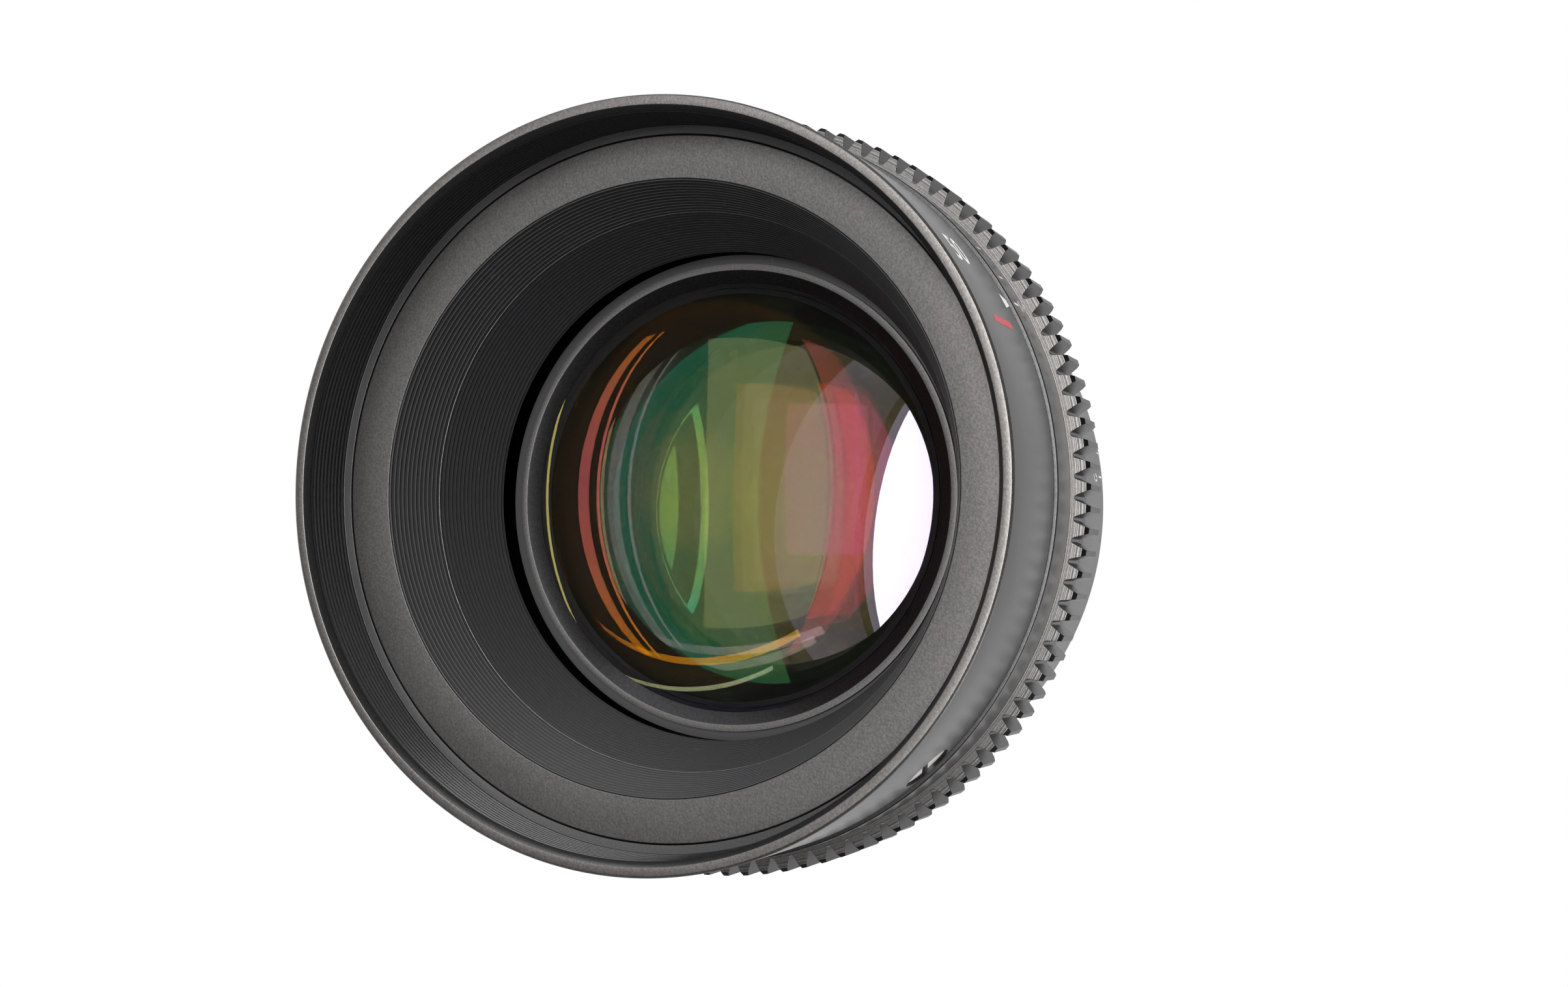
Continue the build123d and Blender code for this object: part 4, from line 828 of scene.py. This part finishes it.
# %% Iris ring and its gear
iris_low, iris_high = depths_of("iris_gear")
iris_tip = radius_of("iris_gear")
IRIS_WALL = 1.9
ring_bore = IRIS_RADIUS - IRIS_WALL
iris_section = [
    (ring_bore, IRIS_FRONT),
    (IRIS_RADIUS - EDGE_BREAK, IRIS_FRONT),
    (IRIS_RADIUS, IRIS_FRONT + EDGE_BREAK),
    (IRIS_RADIUS, IRIS_REAR - EDGE_BREAK),
    (IRIS_RADIUS - EDGE_BREAK, IRIS_REAR),
    (ring_bore, IRIS_REAR),
]
iris_shell = turned_piece("iris_shell", iris_section, ring_anodised, "iris_ring",
                          ["iris_ring"])
PIN_ANGLE = 307.5
PIN_INSET = 3.2
PIN_DEPTH = IRIS_REAR - PIN_INSET
PIN_HEAD_HOLE = 2.4
PIN_HEAD_DEPTH = 1.0
PIN_HOLE = 1.6
drill(iris_shell, PIN_HEAD_HOLE, IRIS_RADIUS + 1, IRIS_RADIUS - PIN_HEAD_DEPTH, PIN_ANGLE, PIN_DEPTH)
drill(iris_shell, PIN_HOLE, IRIS_RADIUS + 1, ring_bore - 1, PIN_ANGLE, PIN_DEPTH)
iris_teeth = round(2 * (iris_tip - MODULE) / MODULE)
gear("iris_gear_ring", iris_teeth, IRIS_RADIUS, iris_low, iris_high, turned_gear, "iris_ring",
     ["iris_gear"])

# %% [markdown]
# ## The glasses
#
# Each glass is two spheres and a rim. The frame gives each one's place and rim, and the curves are
# those of the lens design. A curve is positive when its centre lies behind the face. The ground rim
# is painted black, as makers do, so that no light gets in from the side. A cemented pair has a gap
# of a hundredth of a millimetre in place of the cement, so that its two faces don't coincide.

# %% Glass after glass
ARC_STEPS = 48
RING_STEPS = 256
CLEAR_SHARE = 0.999
CEMENT = 0.01
FLINT_HOLLOW = 15
IRIS_HOLLOW = 13.5


def sag(curve, radius):
    """Depth of a spherical face at a radius, behind its vertex; negative if it bulges to the rear."""
    bend = abs(curve) - sqrt(curve**2 - radius**2)
    return bend if curve > 0 else -bend


def lens_glass(name, front_curve, front_rim, back_curve, back_rim, gap=0.0):
    """One glass from its two curves; its place and its rim come from the frame."""
    rim = radius_of(name)
    front, back = depths_of(name)
    front += gap
    front_vertex = front if front_curve > 0 else front - sag(front_curve, front_rim)
    back_vertex = back if back_curve < 0 else back - sag(back_curve, back_rim)
    section = []
    for step in range(ARC_STEPS + 1):
        radius = front_rim * step / ARC_STEPS
        section.append((radius, front_vertex + sag(front_curve, radius)))
    if rim > front_rim:
        section.append((rim, section[-1][1]))
    rear = []
    for step in range(ARC_STEPS + 1):
        radius = back_rim * step / ARC_STEPS
        rear.append((radius, back_vertex + sag(back_curve, radius)))
    if rim > back_rim:
        rear.append((rim, rear[-1][1]))
    piece = finish_piece(name + "_glass", spin(section + rear[::-1], RING_STEPS), coatings[name][0],
                         "optics", [name])
    piece.data.materials.append(coatings[name][1])
    piece.data.materials.append(baffle_black)
    clear_radius = CLEAR_SHARE * min(front_rim, back_rim) * MM
    for face in piece.data.polygons:
        corners = [piece.data.vertices[v].co for v in face.vertices]
        if min(sqrt(corner.x**2 + corner.z**2) for corner in corners) > clear_radius:
            face.material_index = 2
        elif face.normal.y > 0:
            face.material_index = 1
    return piece


front_glass = radius_of("front_element")
second_glass = radius_of("second_element")
doublet_glass = radius_of("front_doublet_crown")
rear_glass = radius_of("rear_doublet_flint")
last_glass = radius_of("rear_element")
lens_glass("front_element", 55, front_glass, 600, front_glass)
lens_glass("second_element", 42, second_glass, 110, second_glass)
lens_glass("front_doublet_crown", 120, doublet_glass, 300, doublet_glass)
lens_glass("front_doublet_flint", 300, doublet_glass, 36, FLINT_HOLLOW, CEMENT)
lens_glass("rear_doublet_flint", -30, IRIS_HOLLOW, 90, rear_glass)
lens_glass("rear_doublet_crown", 90, rear_glass, -38, rear_glass, CEMENT)
lens_glass("fifth_element", -90, last_glass, -42, last_glass)
lens_glass("rear_element", 75, last_glass, -110, last_glass)
print("eight glasses")

# %% [markdown]
# ## The ring that holds the front glass
#
# A narrow blasted flat, a bevel, a small step and a second bevel that ends at the glass; all but the
# flat are painted darker, as shade. Every other piece of the imported model keeps its own mesh: it
# only gets its finish, and smooth shading with sharp edges.

# %% Retaining ring and the finish of every remaining node
ring_front, ring_rear = depths_of("front_retaining_ring")
RING_RADIUS = radius_of("front_retaining_ring")
RING_WIDTH = 2.36
RING_BORE = RING_RADIUS - RING_WIDTH
RING_FLAT = (0.83, 0.06)
BEVEL_END = 1.10
STEP_END = 1.14
GLASS_BEVEL_END = 1.45
GLASS_PLAY = 0.04
BEVEL_LEAN = 0.3
retainer_section = [
    (RING_RADIUS, ring_front),
    (RING_RADIUS - RING_FLAT[0], ring_front + RING_FLAT[1]),
    (RING_BORE, ring_front + BEVEL_END),
    (RING_BORE, ring_front + STEP_END),
    (front_glass + GLASS_PLAY, ring_front + GLASS_BEVEL_END),
    (front_glass + GLASS_PLAY, ring_rear),
    (RING_RADIUS, ring_rear),
]
glass_ring = turned_piece("glass_ring", retainer_section, blasted_anodised, "optics",
                          ["front_retaining_ring"], ease=0.05)
# Painted shade: the faces of the ring that look towards the axis get the darker tone.
second_finish(glass_ring, shade_anodised, lambda radius, depth, inward, ahead: inward > BEVEL_LEAN)

MADE_WITH = (
    (satin_anodised, ("guide_barrel", "rear_barrel")),
    (ring_anodised, ("front_collar", "lens_carrier", "iris_housing", "rear_cell", "rear_retaining_ring")),
    (ground_steel, ("mount_flange", "mount_screws", "rear_barrel_screws", "sleeve_screws", "cell_screws",
                    "iris_screws", "iris_drive_pin", "follower_screws")),
    (plated_screw, ("barrel_screws",)),
    (bare_turned, ("cam_sleeve",)),
    (turned_brass, ("follower_rollers",)),
    (baffle_black, ("rear_light_shade",)),
    (inner_black, ("front_cell", "front_spacer", "front_group_ring", "iris_base_plate", "rear_spacer",
                   "last_spacer", "iris_cam_plate", "iris_drive_fork")),
)
finishes = {name: finish for finish, names in MADE_WITH for name in names}
for name, node in nodes.items():
    if node.hide_render:
        continue
    finish = inner_black if name.startswith("iris_blade") else finishes[name]
    node.data.materials.clear()
    node.data.materials.append(finish)
    for face in node.data.polygons:
        face.use_smooth = True
    node.data.set_sharp_from_angle(angle=SHARP)
print("finished nodes:", sum(not node.hide_render for node in nodes.values()))

# %% [markdown]
# ## Engraved figures
#
# A figure starts flat and is then laid round its ring: its length runs to the rear and its height
# runs up round the ring. The wide figures are cut into strips first, so that they follow the curve.
# The distance scale is worked out from the lens itself. With the object at a distance D, and a
# magnification m, a 50 mm lens has D / 50 = m + 1/m + 2 and must stand 50 m further out than at
# infinity. The cam gives 7.3 mm for 200 degrees, so the extension says where the figure goes. Three
# shorter ticks stand between the first two numbers.

# %% Laying figures round a ring
LIFT = 0.012
STRIP = 0.4
INDEX = 28.3


def wrap(name, flat, radius, angle, depth, material, body):
    """Lays a flat bmesh, in millimetres, on a cylinder round the axis."""
    height = max((abs(v.co.y) for v in flat.verts), default=0)
    strips = int(height / STRIP)
    for strip in range(-strips, strips + 1):
        everything = flat.verts[:] + flat.edges[:] + flat.faces[:]
        bmesh.ops.bisect_plane(flat, geom=everything, plane_co=(0, strip * STRIP, 0), plane_no=(0, 1, 0))
    for vertex in flat.verts:
        turn = radians(angle) + vertex.co.y / radius
        reach = (radius + LIFT) * MM
        back = (FRONT + depth + vertex.co.x) * MM
        vertex.co = (reach * cos(turn), back, reach * sin(turn))
    mesh = bpy.data.meshes.new(name)
    flat.to_mesh(mesh)
    flat.free()
    mesh.materials.append(material)
    piece = bpy.data.objects.new(name, mesh)
    bpy.context.scene.collection.objects.link(piece)
    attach(piece, body)
    return piece


def bar(name, length, height, radius, angle, depth, material, body, end_height=None):
    """An engraved line that runs to the rear, or a wedge if its rear end has another height."""
    flat = bmesh.new()
    end_height = height if end_height is None else end_height
    outline = ((0, -height / 2), (length, -end_height / 2), (length, end_height / 2), (0, height / 2))
    flat.faces.new([flat.verts.new((x, y, 0)) for x, y in outline])
    return wrap(name, flat, radius, angle, depth, material, body)


def figure(name, text, height, radius, angle, depth, material, body, width=1.0):
    """A number whose length runs to the rear, centred on an angle."""
    curve = bpy.data.curves.new(name, "FONT")
    curve.body = text
    curve.align_x = "LEFT"
    curve.align_y = "CENTER"
    curve.offset = 0.012
    carrier = bpy.data.objects.new(name, curve)
    bpy.context.scene.collection.objects.link(carrier)
    bpy.context.view_layer.update()
    shape = bpy.data.meshes.new_from_object(carrier.evaluated_get(bpy.context.evaluated_depsgraph_get()))
    bpy.data.objects.remove(carrier)
    flat = bmesh.new()
    flat.from_mesh(shape)
    low = min(v.co.y for v in flat.verts)
    high = max(v.co.y for v in flat.verts)
    start = min(v.co.x for v in flat.verts)
    size = height / (high - low)
    for vertex in flat.verts:
        vertex.co = ((vertex.co.x - start) * size * width, (vertex.co.y - (low + high) / 2) * size, 0)
    return wrap(name, flat, radius, angle, depth, material, body)


# %% The distance scale
TRAVEL = 7.3
THROW = 200.0
FOCAL = 50.0
NEAR_FOCUS = 0.45
NEAR_TICKS = (4.9, 10.65, 17.4)
TICK_DEPTH = 20.1
NEAR_TICK_DEPTH = 20.6
NUMBER_DEPTH = 22.45


def scale_angle(distance):
    """Degrees from the near end of the scale to a distance in millimetres."""
    half = (distance / FOCAL - 2) / 2
    magnification = half - sqrt(half**2 - 1)
    return THROW * (1 - FOCAL * magnification / TRAVEL)


near = 1000 * NEAR_FOCUS
near_angle = scale_angle(near)
marks = ("0.45", "0.5", "0.55", "0.6", "0.7", "0.8", "1", "1.2", "1.5", "2", "3", "5")
for text in marks:
    angle = INDEX + scale_angle(1000 * float(text)) - near_angle
    label = text.replace(".", "_")
    bar("tick_" + label, 2.0, 0.3, BAND_RADIUS, angle, TICK_DEPTH, white_enamel, "focus_ring")
    figure("distance_" + label, text, 1.4, BAND_RADIUS, angle, NUMBER_DEPTH, white_enamel, "focus_ring")
for step, angle in enumerate(NEAR_TICKS):
    bar(f"near_tick_{step + 1}", 1.8, 0.22, BAND_RADIUS, INDEX + angle, NEAR_TICK_DEPTH, white_enamel,
        "focus_ring")
bar("far_tick", 2.0, 0.3, BAND_RADIUS, INDEX + THROW, TICK_DEPTH, white_enamel, "focus_ring")
bar("index_wedge", 2.4, 1.9, BARREL_RADIUS, INDEX, 16.2, white_enamel, "housing", 0.8)
bar("red_dash", 8.0, 0.9, BARREL_RADIUS, 23.5, 6.0, red_enamel, "housing")
figure("focal_length", "50", 3.6, BARREL_RADIUS, 35.3, 4.4, white_enamel, "housing", 1.15)
print("distance scale from", round(near_angle, 2), "to", THROW, "degrees")

# %% The T-stop scale, evenly spaced because the iris blades are driven so
STOPS = ("1.5", "2", "2.8", "4", "5.6", "8", "11", "16", "22")
IRIS_THROW = 75.0
for step, text in enumerate(STOPS):
    angle = 5 + IRIS_THROW * step / (len(STOPS) - 1)
    bar(f"stop_tick_{step + 1}", 1.6, 0.28, IRIS_RADIUS, angle, 62.9, white_enamel, "iris_ring")
    figure(f"stop_{step + 1}", text, 1.5, IRIS_RADIUS, angle, 59.6, white_enamel, "iris_ring")
    if step:
        bar(f"half_stop_{step}", 0.9, 0.2, IRIS_RADIUS, angle - IRIS_THROW / 16, 63.6, white_enamel,
            "iris_ring")
rear_front = depths_of("rear_barrel")[0]
bar("iris_index", 2.0, 0.6, radius_of("rear_barrel"), 5, rear_front + 0.2, red_enamel, "housing", 0.25)
print("engraving laid on")

# %% [markdown]
# ## Light and surroundings
#
# The lens stands in front of a white sweep. Its metal sees that sweep to the rear and a dim room to
# the front, so the world is bright behind and dark ahead, with a soft change between. Seen through
# the glass, the sweep is brighter and the room darker still. The camera itself sees plain white.

# %% World
SWEEP_EDGE = -0.1
SWEEP_FULL = 0.5
ROOM = 0.10
SWEEP = 0.9
ROOM_IN_GLASS = 0.03
SWEEP_IN_GLASS = 2.7
world = bpy.data.worlds.new("white sweep")
world.use_nodes = True
bpy.context.scene.world = world
sky = world.node_tree
sky.nodes.clear()
sky_output = add(sky, "ShaderNodeOutputWorld")
path = add(sky, "ShaderNodeLightPath")
direction = add(sky, "ShaderNodeTexCoord").outputs["Generated"]
apart = add(sky, "ShaderNodeSeparateXYZ", None, {"Vector": direction})
on_metal = add(sky, "ShaderNodeMapRange", {"interpolation_type": "SMOOTHSTEP"},
               {"Value": apart.outputs["Y"], "From Min": SWEEP_EDGE, "From Max": SWEEP_FULL,
                "To Min": ROOM, "To Max": SWEEP})
in_glass = add(sky, "ShaderNodeMapRange", {"interpolation_type": "SMOOTHSTEP"},
               {"Value": apart.outputs["Y"], "From Min": SWEEP_EDGE, "From Max": SWEEP_FULL,
                "To Min": ROOM_IN_GLASS, "To Max": SWEEP_IN_GLASS})
seen = add(sky, "ShaderNodeMix", {"data_type": "FLOAT"},
           {"Factor": path.outputs["Is Transmission Ray"], "A": on_metal.outputs[0],
            "B": in_glass.outputs[0]})
strength = add(sky, "ShaderNodeMix", {"data_type": "FLOAT"},
               {"Factor": path.outputs["Is Camera Ray"], "A": seen.outputs[0], "B": 1.0})
background = add(sky, "ShaderNodeBackground", None,
                 {"Color": colour("#ffffff"), "Strength": strength.outputs[0]})
sky.links.new(background.outputs[0], sky_output.inputs["Surface"])

# %% [markdown]
# ## Panels of light
#
# The panels are soft boxes: one ahead on the right for the mouth and the flank, one above, one on the
# left, one ahead on the left, and one low on the right and behind, for the lower flank. A panel that
# is bright enough for dark metal would drown the coatings. So light linking keeps the strong ones to
# the metal, and the glasses get others, whose reflections in the many coated faces are the green,
# crimson and cream shapes. One of those is rose itself, because the single film of the shader leaves
# no crimson as deep as the real stack of layers does. The function that makes a panel says what
# surfaces see it.

# %% Panels of light
AIM_DEPTH = 25


def panel(name, azimuth, elevation, distance, width, height, radiance, tone="#ffffff"):
    """A soft box that looks at the lens; azimuth is from the front towards the camera's side."""
    data = bpy.data.lights.new(name, "AREA")
    data.shape = "RECTANGLE"
    data.size = width
    data.size_y = height
    data.energy = radiance * pi * width * height
    light = bpy.data.objects.new(name, data)
    turn = radians(azimuth)
    rise = radians(elevation)
    middle = Vector((0, (FRONT + AIM_DEPTH) * MM, 0))
    toward = Vector((sin(turn) * cos(rise), -cos(turn) * cos(rise), sin(rise)))
    light.location = middle + toward * distance
    light.rotation_euler = toward.to_track_quat("Z", "Y").to_euler()
    bpy.context.scene.collection.objects.link(light)
    data.color = colour(tone)[:3]
    return light


glasses_only = bpy.data.collections.new("glasses only")
metal_only = bpy.data.collections.new("metal only")
for piece in bpy.context.scene.objects:
    if piece.name.endswith("_glass"):
        glasses_only.objects.link(piece)
    elif piece.type == "MESH" and not piece.hide_render:
        metal_only.objects.link(piece)


def studio_panel(*facts):
    """A panel for every surface, but not seen through the glass."""
    light = panel(*facts)
    light.visible_transmission = False
    return light


def metal_panel(*facts):
    """A panel that only the metal sees."""
    panel(*facts).light_linking.receiver_collection = metal_only


def glass_panel(*facts):
    """A panel that only the glasses see."""
    panel(*facts).light_linking.receiver_collection = glasses_only


RIGHT_BOX = (11, 7, 1.2, 0.5, 0.95)
metal_panel("right_panel", *RIGHT_BOX, 18.0)
on_glass = studio_panel("right_panel_on_glass", *RIGHT_BOX, 6.0)
on_glass.light_linking.receiver_collection = glasses_only
studio_panel("top_panel", -20, 60, 1.2, 1.0, 0.6, 5.0)
studio_panel("left_panel", -75, 15, 1.4, 0.5, 0.9, 2.5)
metal_panel("front_panel", -15, 16, 1.2, 0.4, 0.55, 4.0)
metal_panel("low_side_panel", 115, -35, 1.2, 0.6, 0.6, 8.0)
glass_panel("right_panel_in_glass", *RIGHT_BOX, 0.25)
glass_panel("left_sweep_in_glass", -30, 0, 1.2, 0.5, 1.1, 0.7)
glass_panel("warm_strip_in_glass", 28, 0, 1.2, 0.14, 3.0, 4.0, "#e6ecff")
glass_panel("thin_strip_in_glass", 20, 0, 1.2, 0.03, 3.0, 5.0, "#eef0ff")
glass_panel("rose_sweep_in_glass", -52, 4, 1.2, 0.4, 1.5, 1.5, "#f0506e")
glass_panel("high_strip_in_glass", 5, 52, 1.2, 1.6, 0.10, 4.0, "#e6ecff")
print("lights set")

# %% [markdown]
# ## Settings for many glass faces
#
# A ray that goes in through eight glasses and comes back needs many bounces, so the limits are raised.
# Light that has passed through glass has to reach the cells behind it, and the caustics setting
# allows that.

# %% Rendering
scene = bpy.context.scene
scene.view_settings.view_transform = "Standard"
scene.cycles.max_bounces = 24
scene.cycles.transmission_bounces = 20
scene.cycles.glossy_bounces = 8
scene.cycles.caustics_refractive = True
